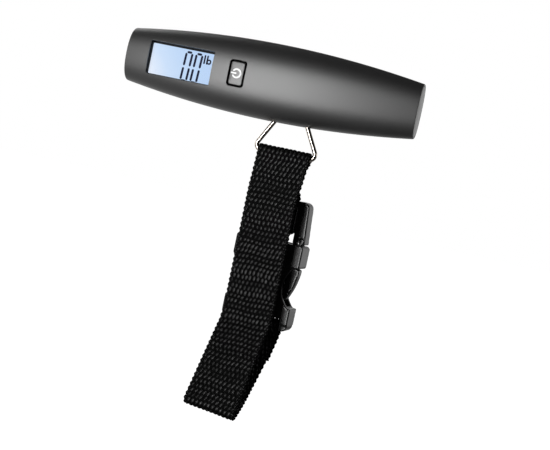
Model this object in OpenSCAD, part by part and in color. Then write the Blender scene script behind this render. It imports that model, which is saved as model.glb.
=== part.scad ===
// Digital luggage scale: barrel handle with a display, wire ring and webbing strap with a buckle.
// Millimetres. +X runs along the handle, -Y faces the display, +Z is up, origin at the handle's centre.

/* [Handle] */
// Length of the handle between its end faces
body_len = 134; // [110:1:170]
// Height of the handle at its middle
mid_height = 34.4; // [30:0.2:44]
// Height of the handle at its ends
end_height = 24.2; // [20:0.2:30]
// Depth of the handle at its middle
mid_depth = 27.2; // [24:0.2:36]
// Depth of the handle at its ends
end_depth = 19; // [17:0.2:26]
// Squareness of the handle's cross-section, 2 is an ellipse
section_power = 2.35; // [2:0.05:3.5]
// Wall thickness of the housing halves
wall = 2; // [1.6:0.1:2.4]
// Thickness of the end caps
cap_t = 3; // [2:0.2:4]
// Thickness of the thin rim that the housing leaves round each end cap
rim_t = 0.8; // [0.6:0.1:1.4]

/* [Display and button] */
// Width of the display window
window_w = 30.4; // [24:0.2:34]
// Height of the display window
window_h = 15; // [11:0.2:16]
// Distance of the window's centre from the handle's left end
window_x = 26.4; // [25:0.2:28]
// Width of the button hole
button_w = 7.6; // [6:0.1:9]
// Height of the button hole
button_h = 11.6; // [9:0.1:13]
// Distance of the button's centre from the handle's left end
button_x = 53.6; // [53:0.1:54.4]
// Travel of the button
button_travel = 0.5; // [0.3:0.1:0.6]

/* [Ring] */
// Diameter of the ring's wire
wire_d = 2.1; // [1.6:0.1:2.6]
// Distance of the ring from the handle's left end
ring_x = 79.4; // [78:0.2:81]
// Lean of each ring leg from upright, in degrees
leg_lean = 28.7; // [26:0.1:31]
// Drop of the ring's bottom bar below the handle's underside
bar_drop = 13.4; // [12:0.1:16]

/* [Strap] */
// Width of the webbing
strap_w = 24.3; // [18:0.1:26]
// Thickness of the webbing
strap_t = 1.4; // [1:0.1:1.8]
// Drop of the strap's bottom fold below the ring's bar
strap_drop = 117; // [112:1:150]
// Width of the short tab between the ring and the plug
tab_w = 17; // [15:0.1:20]
// Reach of the bottom fold in front of the ring
fold_reach = 20; // [14:0.5:24]

/* [Buckle] */
// Width of the buckle's collar
buckle_w = 33.2; // [33:0.2:36]
// Depth of the buckle's collar
buckle_t = 10; // [9:0.2:12]
// Height of the buckle socket
socket_h = 40; // [39:0.5:46]
// Turn of the strap and buckle about the upright axis, in degrees
strap_yaw = 9; // [0:0.5:10]
// Pull of the plug out of the socket
plug_travel = 18; // [10:1:18]

/* [Hidden] */
$fn = 48;
a = body_len / 2;
wx = -a + window_x;
bx = -a + button_x;
rx = -a + ring_x;
gap = 0.3;
touch = 0.05;
cap_gap = 0.12;
stations = 16;
sides = 20;

// Handle section sizes along X
function bulge(x) = 1 - pow(x / a, 2);
function half_h(x) = end_height / 2 + (mid_height - end_height) / 2 * bulge(x);
function half_d(x) = end_depth / 2 + (mid_depth - end_depth) / 2 * bulge(x);
function power(v) = sign(v) * pow(abs(v), 2 / section_power);
function front_y(x, z) = -half_d(x) * pow(1 - pow(abs(z) / half_h(x), section_power), 1 / section_power);

// Display stack, front to back along Y
window_floor = -7;
lens_t = 1;
lens_w = window_w + 3;
lens_h = window_h + 2.8;
lcd_front = window_floor + lens_t;
lcd_t = 1.8;
light_front = lcd_front + lcd_t;
light_t = 1.6;
board_front = light_front + light_t + 0.2;
board_t = 1.2;
board_back = board_front + board_t;
board_left = wx - lens_w / 2 - 0.4;
board_right = bx + button_w / 2 + 2.6;
board_h = 21;
strip_h = 1.6;

// Push switch and button
switch_size = 6;
switch_t = 3.4;
switch_front = board_front - switch_t;
plunger_r = 1.75;
plunger_out = 1;
plunger_in = 1;
flange_t = 1;
flange_lap = 0.8;
button_gap = 0.7;
flange_front = front_y(bx, button_h / 2 + flange_lap) + wall + 0.7;
board_screw_x = bx - button_w / 2 - 3.4;
board_screw_z = 8.6;

// Battery well in the rear half
cell_r = 10;
cell_t = 3.2;
well_inset = 33;
well_x = -a + well_inset;
well_floor = 0.2;
cell_back = 1;
groove_y = cell_back + cell_t + 0.5;
lip_y = groove_y + 1.4;
seat_y = lip_y + 1.5;
cover_t = 1.7;
cover_r = cell_r + 1.2;
lip_r = cell_r + 0.6;
tab_r = cell_r + 1.5;
well_r = tab_r + 1.5;
tab_t = 1;
tab_arc = 30;

// Housing screws
end_screw = a - 6;
mid_screw_gap = 9.9;
mid_screw_x = bx + mid_screw_gap;
mid_screw_z = 11;
screws = [[-end_screw, 0], [mid_screw_x, mid_screw_z], [mid_screw_x, -mid_screw_z], [end_screw, 0]];
boss_r = 2.7;
screw_r = 1.1;
head_r = 2.1;
head_t = 1.5;
head_y = 4.2;
screw_tip = -5;

// Load cell
cell_w = 9;
cell_h = 12;
cell_z = 3.5;
beam_left = rx - 7.4;
beam_right = a - 10;
beam_bolt_x = [beam_right - 8.6, beam_right - 3.2];
bolt_r = 1.5;
beam_free = beam_bolt_x[0] - rx;
flexure_mid = (beam_left + beam_right) / 2;
flexure_x = [flexure_mid - beam_free * 0.139, flexure_mid + beam_free * 0.139];
flexure_r = beam_free / 9;
beam_top = cell_z + cell_h / 2;
beam_under = cell_z - cell_h / 2;

// Ring outline in its own plane
wire_r = wire_d / 2;
under_z = -half_h(rx);
bar_z = under_z - bar_drop;
corner_r = 2.4;
ring_half = strap_w / 2 + gap + wire_r;
corner_z = bar_z + corner_r;
leg_foot = [ring_half - corner_r + corner_r * cos(leg_lean), corner_z + corner_r * sin(leg_lean)];
apex_r = 3.2;
legs_meet = leg_foot[1] + leg_foot[0] / tan(leg_lean);
pin_z = legs_meet - apex_r / sin(leg_lean);
leg_head = [apex_r * cos(leg_lean), pin_z + apex_r * sin(leg_lean)];
leg_len = norm(leg_foot - leg_head);
swing = 6;
slot_y = wire_r + 1.1;
slot_reach = (leg_foot[0] - (under_z - leg_foot[1]) * tan(leg_lean)) + wire_r / cos(leg_lean);
slot_half = slot_reach + (pin_z - under_z) * sin(swing) + 1;

// Stirrup and pin
pin_r = apex_r - wire_r - 0.12;
stirrup_gap = wire_r + 1.35;
stirrup_t = 1.7;
stirrup_half = 4;
web_t = 2.1;

// Buckle frame: its own X' across, Y' to the rear, Z' up from the mouth
mouth_drop = 38.5;
buckle_o = [rx + 1, 10.4, bar_z - mouth_drop];
function buckle_pt(y, z) = buckle_o + [y * sin(strap_yaw), y * cos(strap_yaw), z];
plug_h = 19.4;
plug_half = buckle_w / 2 - 0.4;
plug_taper = 1.2;
plug_top_half = plug_half - plug_taper;
rail_in = strap_w / 2 + 0.6;
plug_rail_in = tab_w / 2 + 0.6;
plug_t = 6.4;
plug_bar_r = 1.3;
plug_bar_z = 6.4;
knuckle = [plug_half - 2, 1.7];
knuckle_r = 1.4;
post_in = 10.2;
post_out = 11.2;
arm_t = 4.4;
mouth_half = buckle_w / 2 - 1.7;
mouth_t = 5.2;
collar_h = 10.6;
foot_h = 10.8;
waist_h = socket_h - collar_h - foot_h;
foot_top = -collar_h - waist_h;
waist_cut_r = 12.4;
waist_cut_in = 5.9;
socket_top = -0.25;
socket_bar_r = 1.5;
socket_bar_z = -socket_h + socket_bar_r;
foot_half = buckle_w / 2 - 0.2;
waist_cut_x = foot_half + waist_cut_r - waist_cut_in;

// Path of the webbing: each point is x, y, z, turn about Z and drop of the right edge, in degrees
wrap_r = wire_r + 0.55 + strap_t / 2;
plug_wrap = plug_bar_r + 0.15 + strap_t / 2;
socket_wrap = socket_bar_r + 0.15 + strap_t / 2;
fold_r = 1.9;
fold_c = [rx - 5.3, -fold_reach + fold_r, bar_z - strap_drop + fold_r + strap_t / 2];
function on_bar(t) = [rx, wrap_r * cos(t), bar_z + wrap_r * sin(t), 0, 0];
function on_fold(t) = [fold_c[0], fold_c[1] + fold_r * cos(t), fold_c[2] + fold_r * sin(t), 3, 5];
function at(p, yaw, drop) = [p[0], p[1], p[2], yaw, drop];
function in_buckle(y, z) = at(buckle_pt(y, z), strap_yaw, 0);
function hung(y, d) = in_buckle(y, socket_bar_z - d) - [0.2 * max(0, d - 5), 0, 0, 0, 0];
function on_socket(t) = in_buckle(socket_wrap * cos(t), socket_bar_z + socket_wrap * sin(t));
function on_plug(t) = in_buckle(plug_wrap * cos(t), plug_bar_z + plug_wrap * sin(t));
function mix(p, q, t) = p * (1 - t) + q * t;
front_top = [rx - 0.1, -wrap_r - 0.05, bar_z - 3, 1, 0];
front_mid = [rx - 1.1, -2.9, bar_z - 20, strap_yaw, 0];
front_low = [rx - 0.9, -2.9, bar_z - 70, strap_yaw, -2];
kink = [rx - 1.1, -4.1, bar_z - 77, strap_yaw - 1, -3];
front_foot = on_fold(155);
rear_out = hung(-0.8, 7);
rear_low = hung(-1.3, 14);
rear_bend = [rx - 4, 3.6, fold_c[2] + 10.4, 6, 3];
rear_foot = on_fold(-62);
seam_top = [rx, wrap_r + 0.02, bar_z - 1.6, 0, 0];
seam_low = [rx + 0.2, wrap_r + 0.3, bar_z - 8, 3, 0];
long_path = [
    hung(0.75, 17),
    hung(0.7, 12),
    hung(0.95, 7),
    hung(1.9, 3),
    for (t = [0 : 30 : 180]) on_socket(t),
    hung(-1.75, 3),
    rear_out,
    rear_low,
    rear_bend,
    mix(rear_bend, rear_foot, 0.5) + [0, -0.2, -1.2, 0, 0],
    mix(rear_bend, rear_foot, 0.85) + [0, -0.1, -0.6, 0, 0],
    for (t = [-62 : -31 : -186]) on_fold(t),
    front_foot,
    mix(front_foot, kink, 0.08),
    mix(front_foot, kink, 0.4),
    mix(front_foot, kink, 0.75),
    mix(front_foot, kink, 0.93),
    kink,
    front_low,
    mix(front_low, front_mid, 0.15),
    mix(front_low, front_mid, 0.5),
    front_mid,
    mix(front_mid, front_top, 0.5),
    front_top,
    for (t = [180 : -30 : 0]) on_bar(t),
    seam_top,
    mix(seam_top, seam_low, 0.5),
    seam_low
];
lap = [-1.4, strap_t + 0.15, 0, 0, 0];
tab_bend = [0.1, 0.75, -2.2, 0.5, 0];
short_path = [
    mix(seam_top, seam_low, 0.1) + lap,
    mix(seam_top, seam_low, 0.5) + lap,
    mix(seam_top, seam_low, 0.85) + lap,
    seam_low + lap + [0, 0.12, 0, 0, 0],
    seam_low + lap + tab_bend,
    mix(seam_low + lap + tab_bend, in_buckle(0.35, plug_h + 1.5), 0.5),
    in_buckle(0.35, plug_h + 1.5),
    in_buckle(-0.2, plug_h - 1.5),
    in_buckle(-0.85, plug_h - 6),
    in_buckle(-1.7, plug_bar_z + 4),
    in_buckle(-2.05, plug_bar_z + 1.5),
    for (t = [180 : 30 : 360]) on_plug(t),
    in_buckle(2.1, plug_bar_z + 1.5),
    in_buckle(1.9, plug_bar_z + 4),
    in_buckle(1.4, plug_bar_z + 9.4)
];

// Smooth curve through the points of a path
function curve(p, q, r, s, t) =
    0.5 * (2 * q + (r - p) * t + (2 * p - 5 * q + 4 * r - s) * t * t + (3 * q - p - 3 * r + s) * t * t * t);
function smooth(c, n) = [
    for (i = [0 : len(c) - 2], k = [0 : n - 1])
        curve(c[max(i - 1, 0)], c[i], c[i + 1], c[min(i + 2, len(c) - 1)], k / n),
    c[len(c) - 1]
];
function place(p) = [p[0], p[1], p[2]];
function across(p) = [cos(p[3]) * cos(p[4]), -sin(p[3]) * cos(p[4]), -sin(p[4])];
function unit(v) = v / norm(v);
function heading(s, i) = unit(place(s[min(i + 1, len(s) - 1)]) - place(s[max(i - 1, 0)]));
function outward(s, i) = unit(cross(heading(s, i), across(s[i])));

// Flat strip of webbing swept along a path
module ribbon(path, width, thick) {
    s = smooth(path, 3);
    n = len(s);
    pts = [
        for (i = [0 : n - 1])
            for (e = [[-1, -1], [1, -1], [1, 1], [-1, 1]])
                place(s[i]) + across(s[i]) * e[0] * width / 2 + outward(s, i) * e[1] * thick / 2
    ];
    skin = [
        for (i = [0 : n - 2], j = [0 : 3], k = [0 : 1])
            k == 0
                ? [4 * i + j, 4 * i + 4 + j, 4 * i + (j + 1) % 4]
                : [4 * i + (j + 1) % 4, 4 * i + 4 + j, 4 * i + 4 + (j + 1) % 4]
    ];
    m = 4 * (n - 1);
    polyhedron(pts, concat(skin, [[0, 1, 2, 3], [m + 3, m + 2, m + 1, m]]));
}

// Row of stitches laid on one face of a webbing path
module stitch_row(path, width, span, steps, side, lift) {
    s = smooth(path, 3);
    i = floor(span * (len(s) - 1));
    w = across(s[i]);
    v = outward(s, i) * side;
    for (k = [-steps : steps]) {
        p = place(s[i]) + w * k * (width * 0.42 / steps) + v * lift;
        q = w * (width * 0.14 / steps);
        thread(p - q, p + q, 0.32);
    }
}

// Straight round thread between two points
module thread(p, q, r) {
    d = q - p;
    translate(p)
        rotate([0, acos(d[2] / norm(d)), atan2(d[1], d[0])])
            cylinder(r = r, h = norm(d));
}

// Round cable swept along a list of points
module cable(path, r) {
    s = smooth(path, 4);
    n = len(s);
    m = 8;
    pts = [
        for (i = [0 : n - 1])
            for (j = [0 : m - 1])
                let (t = heading(s, i), u = unit(cross(t, [0, 1, 0.2])), v = cross(t, u))
                    s[i] + u * r * cos(360 * j / m) + v * r * sin(360 * j / m)
    ];
    skin = [
        for (i = [0 : n - 2], j = [0 : m - 1], k = [0 : 1])
            k == 0
                ? [m * i + j, m * i + (j + 1) % m, m * (i + 1) + j]
                : [m * i + (j + 1) % m, m * (i + 1) + (j + 1) % m, m * (i + 1) + j]
    ];
    low = [for (j = [0 : m - 1]) m - 1 - j];
    high = [for (j = [0 : m - 1]) m * (n - 1) + j];
    polyhedron(pts, concat([low], skin, [high]));
}

// Half of the barrel, front (side -1) or rear (side 1), set in by a margin and run past its split
function half_section(side, x, inset, over) = concat(
    [
        for (j = [0 : sides])
            let (t = 90 - 180 * j / sides)
                [x, side * (half_d(x) - inset) * abs(power(cos(t))), (half_h(x) - inset) * power(sin(t))]
    ],
    over > 0 ? [[x, -side * over, -half_h(x) + inset], [x, -side * over, half_h(x) - inset]] : []
);
module half_barrel(side, inset, over) {
    reach = a + over;
    m = sides + 1 + (over > 0 ? 2 : 0);
    n = stations;
    pts = [for (i = [0 : n]) each half_section(side, -reach + 2 * reach * i / n, inset, over)];
    skin = [
        for (i = [0 : n - 1], j = [0 : m - 1], k = [0 : 1])
            k == 0
                ? [m * i + j, m * i + (j + 1) % m, m * (i + 1) + j]
                : [m * i + (j + 1) % m, m * (i + 1) + (j + 1) % m, m * (i + 1) + j]
    ];
    low = [for (j = [0 : m - 1]) m - 1 - j];
    high = [for (j = [0 : m - 1]) m * n + j];
    faces = concat([low], skin, [high]);
    polyhedron(pts, side > 0 ? faces : [for (f = faces) [for (j = [len(f) - 1 : -1 : 0]) f[j]]]);
}

// Full barrel slice between two X stations
module barrel_slice(x0, x1, inset) {
    m = 2 * sides;
    n = 3;
    pts = [
        for (i = [0 : n], j = [0 : m - 1])
            let (x = x0 + (x1 - x0) * i / n, t = 360 * j / m)
                [x, (half_d(x) - inset) * power(cos(t)), (half_h(x) - inset) * power(sin(t))]
    ];
    skin = [
        for (i = [0 : n - 1], j = [0 : m - 1], k = [0 : 1])
            k == 0
                ? [m * i + j, m * (i + 1) + j, m * i + (j + 1) % m]
                : [m * i + (j + 1) % m, m * (i + 1) + j, m * (i + 1) + (j + 1) % m]
    ];
    low = [for (j = [0 : m - 1]) j];
    high = [for (j = [0 : m - 1]) m * n + m - 1 - j];
    polyhedron(pts, concat([low], skin, [high]));
}

// Box from low corner to high corner
module box(lo, hi) {
    translate(lo)
        cube(hi - lo);
}

// Cylinder along Y at x, z between two Y values
module rod_y(x, z, y0, y1, r) {
    translate([x, y0, z])
        rotate([-90, 0, 0])
            cylinder(r = r, h = y1 - y0);
}

// Upright plate with round corners, thick along Y
function corner(c, r, from) = [for (k = [0 : 6]) c + r * [cos(from + 15 * k), sin(from + 15 * k)]];
function rounded(w, h, r) = concat(
    corner([w / 2 - r, h / 2 - r], r, 0),
    corner([-w / 2 + r, h / 2 - r], r, 90),
    corner([-w / 2 + r, -h / 2 + r], r, 180),
    corner([w / 2 - r, -h / 2 + r], r, 270)
);
module plate_y(w, h, r, y0, y1) {
    translate([0, y1, 0])
        rotate([90, 0, 0])
            linear_extrude(y1 - y0)
                polygon(rounded(w, h, r));
}

// Slot for the ring's legs through the underside
module ring_slot() {
    box([rx - slot_half, -slot_y, -mid_height], [rx + slot_half, slot_y, under_z + 6]);
}

// Hollow of a housing half, with its solid bosses left standing
module front_hollow() {
    difference() {
        half_barrel(-1, wall, 1);
        box([board_left - 1, -mid_depth, -lens_h / 2 - 1.2],
            [wx + lens_w / 2 + 1.2, window_floor + 0.5, lens_h / 2 + 1.2]);
        for (s = screws)
            rod_y(s[0], s[1], -mid_depth, 0, boss_r);
        for (sz = [-1, 1])
            rod_y(board_screw_x, sz * board_screw_z, -mid_depth, board_front, 1.7);
    }
}
module rear_hollow() {
    difference() {
        half_barrel(1, wall, 1);
        for (s = screws)
            rod_y(s[0], s[1], 0, mid_depth, boss_r);
        rod_y(well_x, 0, well_floor, mid_depth, well_r);
        box([beam_bolt_x[0] - 3.4, cell_w / 2, cell_z - 5], [beam_right, mid_depth, cell_z + 5]);
    }
}

// Seats of the two end caps
module end_seats() {
    barrel_slice(-a - 1, -a + cap_t, rim_t);
    barrel_slice(a - cap_t, a + 1, rim_t);
}

module front_shell() {
    color([0.16, 0.16, 0.17])
        difference() {
            half_barrel(-1, 0, 0);
            front_hollow();
            box([wx - lens_w / 2 - 0.4, window_floor, -lens_h / 2 - 0.4],
                [wx + lens_w / 2 + 0.4, 1, lens_h / 2 + 0.4]);
            box([wx - window_w / 2, -mid_depth, -window_h / 2], [wx + window_w / 2, 1, window_h / 2]);
            translate([bx, 0, 0])
                plate_y(button_w, button_h, 1.3, -mid_depth, 1);
            for (s = screws)
                rod_y(s[0], s[1], screw_tip - 0.6, 1, screw_r + touch);
            for (sz = [-1, 1])
                rod_y(board_screw_x, sz * board_screw_z, board_front - 4, board_front + 1, 0.8 + touch);
            ring_slot();
            end_seats();
        }
}

module rear_shell() {
    color([0.16, 0.16, 0.17])
        difference() {
            half_barrel(1, 0, 0);
            rear_hollow();
            for (s = screws) {
                rod_y(s[0], s[1], -1, mid_depth, screw_r + 0.15);
                rod_y(s[0], s[1], head_y, mid_depth, head_r + 0.25);
            }
            rod_y(well_x, 0, -1, cell_back + 0.1, cell_r - 1.5);
            rod_y(well_x, 0, cell_back, groove_y + 0.1, cell_r + 0.3);
            rod_y(well_x, 0, groove_y, lip_y, tab_r + gap);
            rod_y(well_x, 0, lip_y - 0.1, seat_y + 0.1, lip_r);
            rod_y(well_x, 0, seat_y, mid_depth, cover_r + gap);
            for (t = [45, 225])
                translate([well_x, 0, 0])
                    rotate([0, t, 0])
                        box([0, lip_y - 0.2, -tab_r * sin(tab_arc / 2) - 0.4],
                            [tab_r + gap, seat_y + 0.2, tab_r * sin(tab_arc / 2) + 0.4]);
            box([well_x + cell_r - 0.2, -1, -2], [well_x + cell_r + 1.3, groove_y, 2]);
            for (x = beam_bolt_x)
                rod_y(x, cell_z, 0, cell_w / 2 + 3.6, bolt_r + touch);
            ring_slot();
            end_seats();
        }
}

module end_cap_left() {
    color([0.3, 0.3, 0.31])
        barrel_slice(-a, -a + cap_t, rim_t + cap_gap);
}
module end_cap_right() {
    color([0.3, 0.3, 0.31])
        barrel_slice(a - cap_t, a, rim_t + cap_gap);
}

module display_window() {
    color([0.75, 0.85, 0.9, 0.4])
        box([wx - lens_w / 2, window_floor, -lens_h / 2], [wx + lens_w / 2, lcd_front, lens_h / 2]);
}
module lcd_panel() {
    color([0.6, 0.72, 0.85])
        box([wx - lens_w / 2 + 0.9, lcd_front, -lens_h / 2 + 0.4],
            [wx + lens_w / 2 - 0.9, light_front, lens_h / 2 - 0.4]);
}
module lcd_backlight() {
    color([0.85, 0.92, 1])
        box([wx - lens_w / 2 + 1, light_front, -lens_h / 2 + 2.6],
            [wx + lens_w / 2 - 1, light_front + light_t, lens_h / 2 - 0.5]);
}
module lcd_frame() {
    color([0.08, 0.08, 0.09])
        difference() {
            box([wx - lens_w / 2, lcd_front, -lens_h / 2], [wx + lens_w / 2, board_front, lens_h / 2]);
            box([wx - lens_w / 2 + 0.8, lcd_front - 1, -lens_h / 2 + 0.3],
                [wx + lens_w / 2 - 0.8, board_front + 1, lens_h / 2 - 0.3]);
        }
}
module lcd_strip() {
    color([0.85, 0.45, 0.5])
        box([wx - lens_w / 2 + 2, light_front, -lens_h / 2 + 0.6],
            [wx + lens_w / 2 - 2, board_front, -lens_h / 2 + 0.6 + strip_h]);
}
module main_board() {
    color([0.08, 0.32, 0.16])
        difference() {
            box([board_left, board_front, -board_h / 2], [board_right, board_back, board_h / 2]);
            for (sz = [-1, 1])
                rod_y(board_screw_x, sz * board_screw_z, board_front - 1, board_back + 1, 1);
        }
}
module controller_chip() {
    color([0.05, 0.05, 0.05])
        intersection() {
            rod_y(bx, -1.5, board_back, board_back + 3, 4);
            translate([bx, board_back - 4.4, -1.5])
                sphere(r = 6);
        }
}
module tact_switch() {
    color([0.12, 0.12, 0.12])
        difference() {
            box([bx - switch_size / 2, switch_front, -switch_size / 2],
                [bx + switch_size / 2, board_front, switch_size / 2]);
            rod_y(bx, 0, switch_front - 1, switch_front + plunger_in + button_travel + 0.4, plunger_r + 0.08);
        }
}
module switch_plunger() {
    color([0.75, 0.75, 0.72])
        rod_y(bx, 0, switch_front - plunger_out, switch_front + plunger_in, plunger_r);
}
module power_button() {
    color([0.17, 0.17, 0.18]) {
        intersection() {
            half_barrel(-1, 0, 0);
            translate([bx, 0, 0])
                plate_y(button_w - 2 * button_gap, button_h - 2 * button_gap, 0.9,
                    -mid_depth, flange_front + 0.2);
        }
        translate([bx, 0, 0])
            plate_y(button_w + 2 * flange_lap, button_h + 2 * flange_lap, 1.5,
                flange_front, flange_front + flange_t);
        rod_y(bx, 0, flange_front + flange_t - 0.2, switch_front - plunger_out, 1.5);
    }
}
module coin_cell() {
    color([0.8, 0.8, 0.82]) {
        rod_y(well_x, 0, cell_back + 0.6, cell_back + cell_t, cell_r);
        rod_y(well_x, 0, cell_back, cell_back + 0.7, cell_r - 1.2);
    }
}
module contact_negative() {
    color([0.8, 0.72, 0.5])
        translate([well_x, 0, -2])
            linear_extrude(4)
                polygon([
                    [-6, board_back], [-2, board_back], [2, cell_back - 0.35], [5, cell_back - 0.35],
                    [5, cell_back], [1.8, cell_back], [-2.2, board_back + 0.35], [-6, board_back + 0.35]
                ]);
}
module contact_positive() {
    color([0.8, 0.72, 0.5]) {
        box([well_x + cell_r + 0.1, board_back, -1.6], [well_x + cell_r + 0.5, groove_y - 0.6, 1.6]);
        box([well_x + cell_r + 0.1, board_back, -1.6], [well_x + cell_r + 3.5, board_back + 0.4, 1.6]);
    }
}
module battery_cover() {
    color([0.15, 0.15, 0.16])
        difference() {
            union() {
                rod_y(well_x, 0, seat_y + touch, seat_y + touch + cover_t, cover_r);
                rod_y(well_x, 0, groove_y + 0.2, seat_y + 0.2, lip_r - touch);
                for (t = [0, 180])
                    translate([well_x, 0, 0])
                        rotate([0, t, 0])
                            intersection() {
                                rod_y(0, 0, groove_y + 0.2, groove_y + 0.2 + tab_t, tab_r);
                                box([0, 0, -tab_r * sin(tab_arc / 2)],
                                    [tab_r, mid_depth, tab_r * sin(tab_arc / 2)]);
                            }
            }
            box([well_x - 6, seat_y + touch + cover_t - 0.8, -0.9], [well_x + 6, mid_depth, 0.9]);
            rod_y(well_x, 0, 0, groove_y + 1.2, cell_r - 1);
        }
}

module load_cell() {
    color([0.78, 0.78, 0.8])
        difference() {
            box([beam_left, -cell_w / 2, beam_under], [beam_right, cell_w / 2, beam_top]);
            for (x = flexure_x)
                rod_y(x, cell_z, -cell_w, cell_w, flexure_r);
            box([flexure_x[0], -cell_w, cell_z - 1.5], [flexure_x[1], cell_w, cell_z + 1.5]);
            for (x = beam_bolt_x)
                rod_y(x, cell_z, -cell_w, cell_w, bolt_r + 0.15);
            translate([rx, 0, beam_under - 1])
                cylinder(r = 2.05, h = cell_h + 2);
        }
}
module strain_gauges() {
    color([0.85, 0.85, 0.8])
        for (x = flexure_x, s = [-1, 1])
            translate([x, 0, s > 0 ? beam_top : beam_under - 0.5])
                box([-2.5, -2, 0], [2.5, 2, 0.5]);
}
module load_cell_bolts() {
    color([0.6, 0.6, 0.62])
        for (x = beam_bolt_x) {
            rod_y(x, cell_z, -cell_w / 2, cell_w / 2 + 3.2, bolt_r);
            rod_y(x, cell_z, -cell_w / 2 - 1.8, -cell_w / 2, 2.4);
        }
}
module stirrup() {
    color([0.72, 0.72, 0.74])
        difference() {
            union() {
                box([rx - stirrup_half, -stirrup_gap - stirrup_t, beam_under - web_t],
                    [rx + stirrup_half, stirrup_gap + stirrup_t, beam_under]);
                for (s = [-1, 1]) {
                    y0 = s > 0 ? stirrup_gap : -stirrup_gap - stirrup_t;
                    box([rx - stirrup_half, y0, pin_z],
                        [rx + stirrup_half, y0 + stirrup_t, beam_under - 0.5]);
                    rod_y(rx, pin_z, y0, y0 + stirrup_t, stirrup_half);
                }
            }
            rod_y(rx, pin_z, -cell_w, cell_w, pin_r + touch);
            translate([rx, 0, beam_under - web_t - 1])
                cylinder(r = 2.05, h = web_t + 2);
        }
}
module stirrup_bolt() {
    color([0.6, 0.6, 0.62])
        translate([rx, 0, 0]) {
            translate([0, 0, beam_under - web_t + 0.1])
                cylinder(r = 2, h = cell_h + web_t);
            translate([0, 0, beam_top])
                cylinder(r = 3.4, h = 2.4);
        }
}
module stirrup_pin() {
    pin_reach = stirrup_gap + stirrup_t;
    pin_head_t = 0.8;
    color([0.66, 0.66, 0.68]) {
        rod_y(rx, pin_z, -pin_reach - 0.2, pin_reach + 0.2, pin_r);
        for (s = [-1, 1])
            translate([0, s > 0 ? pin_reach : -pin_reach - pin_head_t, 0])
                rod_y(rx, pin_z, 0, pin_head_t, pin_r + pin_head_t);
    }
}
module gauge_cable() {
    color([0.75, 0.75, 0.75])
        cable([
            [flexure_x[0] - 3.6, 0, beam_top + 1.3],
            [rx + 5.6, 2, beam_top + 1.5],
            [rx, 6.2, beam_top + 0.6],
            [rx - 9, 5.6, 6],
            [mid_screw_x, 3.5, 4.5],
            [board_right - 1.4, 3, 4.2],
            [board_right - 2.4, 1.8, 4.2],
            [board_right - 2.4, board_back + 1.2, 4.2],
            [board_right - 2.4, board_back + 0.1, 4.2]
        ], 0.9);
}
module case_screws() {
    color([0.7, 0.7, 0.72])
        for (s = screws)
            difference() {
                union() {
                    rod_y(s[0], s[1], screw_tip, head_y + 0.1, screw_r);
                    rod_y(s[0], s[1], head_y, head_y + head_t, head_r);
                }
                translate([s[0], head_y + head_t, s[1]]) {
                    box([-1.4, -0.8, -0.3], [1.4, 1, 0.3]);
                    box([-0.3, -0.8, -1.4], [0.3, 1, 1.4]);
                }
            }
}
module board_screws() {
    color([0.7, 0.7, 0.72])
        for (sz = [-1, 1]) {
            rod_y(board_screw_x, sz * board_screw_z, board_front - 3.6, board_back + 0.1, 0.8);
            rod_y(board_screw_x, sz * board_screw_z, board_back, board_back + 0.9, 1.5);
        }
}

// Triangular ring of round wire: a straight bar and a bent tube from one bar end over the apex to the other
function ring_turn(c, r, from, to, n) = [
    for (k = [0 : n])
        let (t = from + (to - from) * k / n)
            c + r * [cos(t), sin(t)]
];
ring_path = concat(
    [[-ring_half + corner_r + 0.6, bar_z]],
    ring_turn([-ring_half + corner_r, corner_z], corner_r, 270, 180 - leg_lean, 8),
    ring_turn([0, pin_z], apex_r, 180 - leg_lean, leg_lean, 10),
    ring_turn([ring_half - corner_r, corner_z], corner_r, leg_lean, -90, 8),
    [[ring_half - corner_r - 0.6, bar_z]]
);
module ring_tube(r) {
    n = len(ring_path);
    m = 16;
    pts = [
        for (i = [0 : n - 1], j = [0 : m - 1])
            let (d = unit(ring_path[min(i + 1, n - 1)] - ring_path[max(i - 1, 0)]), t = 360 * j / m)
                [ring_path[i][0] - d[1] * r * cos(t), r * sin(t), ring_path[i][1] + d[0] * r * cos(t)]
    ];
    skin = [
        for (i = [0 : n - 2], j = [0 : m - 1], k = [0 : 1])
            k == 0
                ? [m * i + j, m * i + (j + 1) % m, m * (i + 1) + j]
                : [m * i + (j + 1) % m, m * (i + 1) + (j + 1) % m, m * (i + 1) + j]
    ];
    low = [for (j = [0 : m - 1]) m - 1 - j];
    high = [for (j = [0 : m - 1]) m * (n - 1) + j];
    polyhedron(pts, concat([low], skin, [high]));
}
module strap_ring() {
    color([0.85, 0.85, 0.87])
        translate([rx, 0, 0]) {
            translate([-ring_half + corner_r, 0, bar_z])
                rotate([0, 90, 0])
                    cylinder(r = wire_r, h = 2 * (ring_half - corner_r));
            ring_tube(wire_r - 0.02);
        }
}

module strap_long() {
    color([0.06, 0.06, 0.065])
        ribbon(long_path, strap_w, strap_t);
}
module strap_short() {
    color([0.06, 0.06, 0.065])
        ribbon(short_path, tab_w, strap_t);
}
module seam_stitching() {
    color([0.1, 0.1, 0.1])
        for (span = [0.045, 0.11])
            stitch_row(short_path, tab_w, span, 6, -1, strap_t / 2 + 0.36);
}
module socket_stitching() {
    color([0.1, 0.1, 0.1])
        for (span = [0.012, 0.03])
            stitch_row(long_path, strap_w, span, 6, 1, strap_t / 2 + 0.36);
}

// Buckle pieces are drawn in the buckle's own frame
module in_buckle_frame() {
    translate(buckle_o)
        rotate([0, 0, -strap_yaw])
            children();
}
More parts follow.
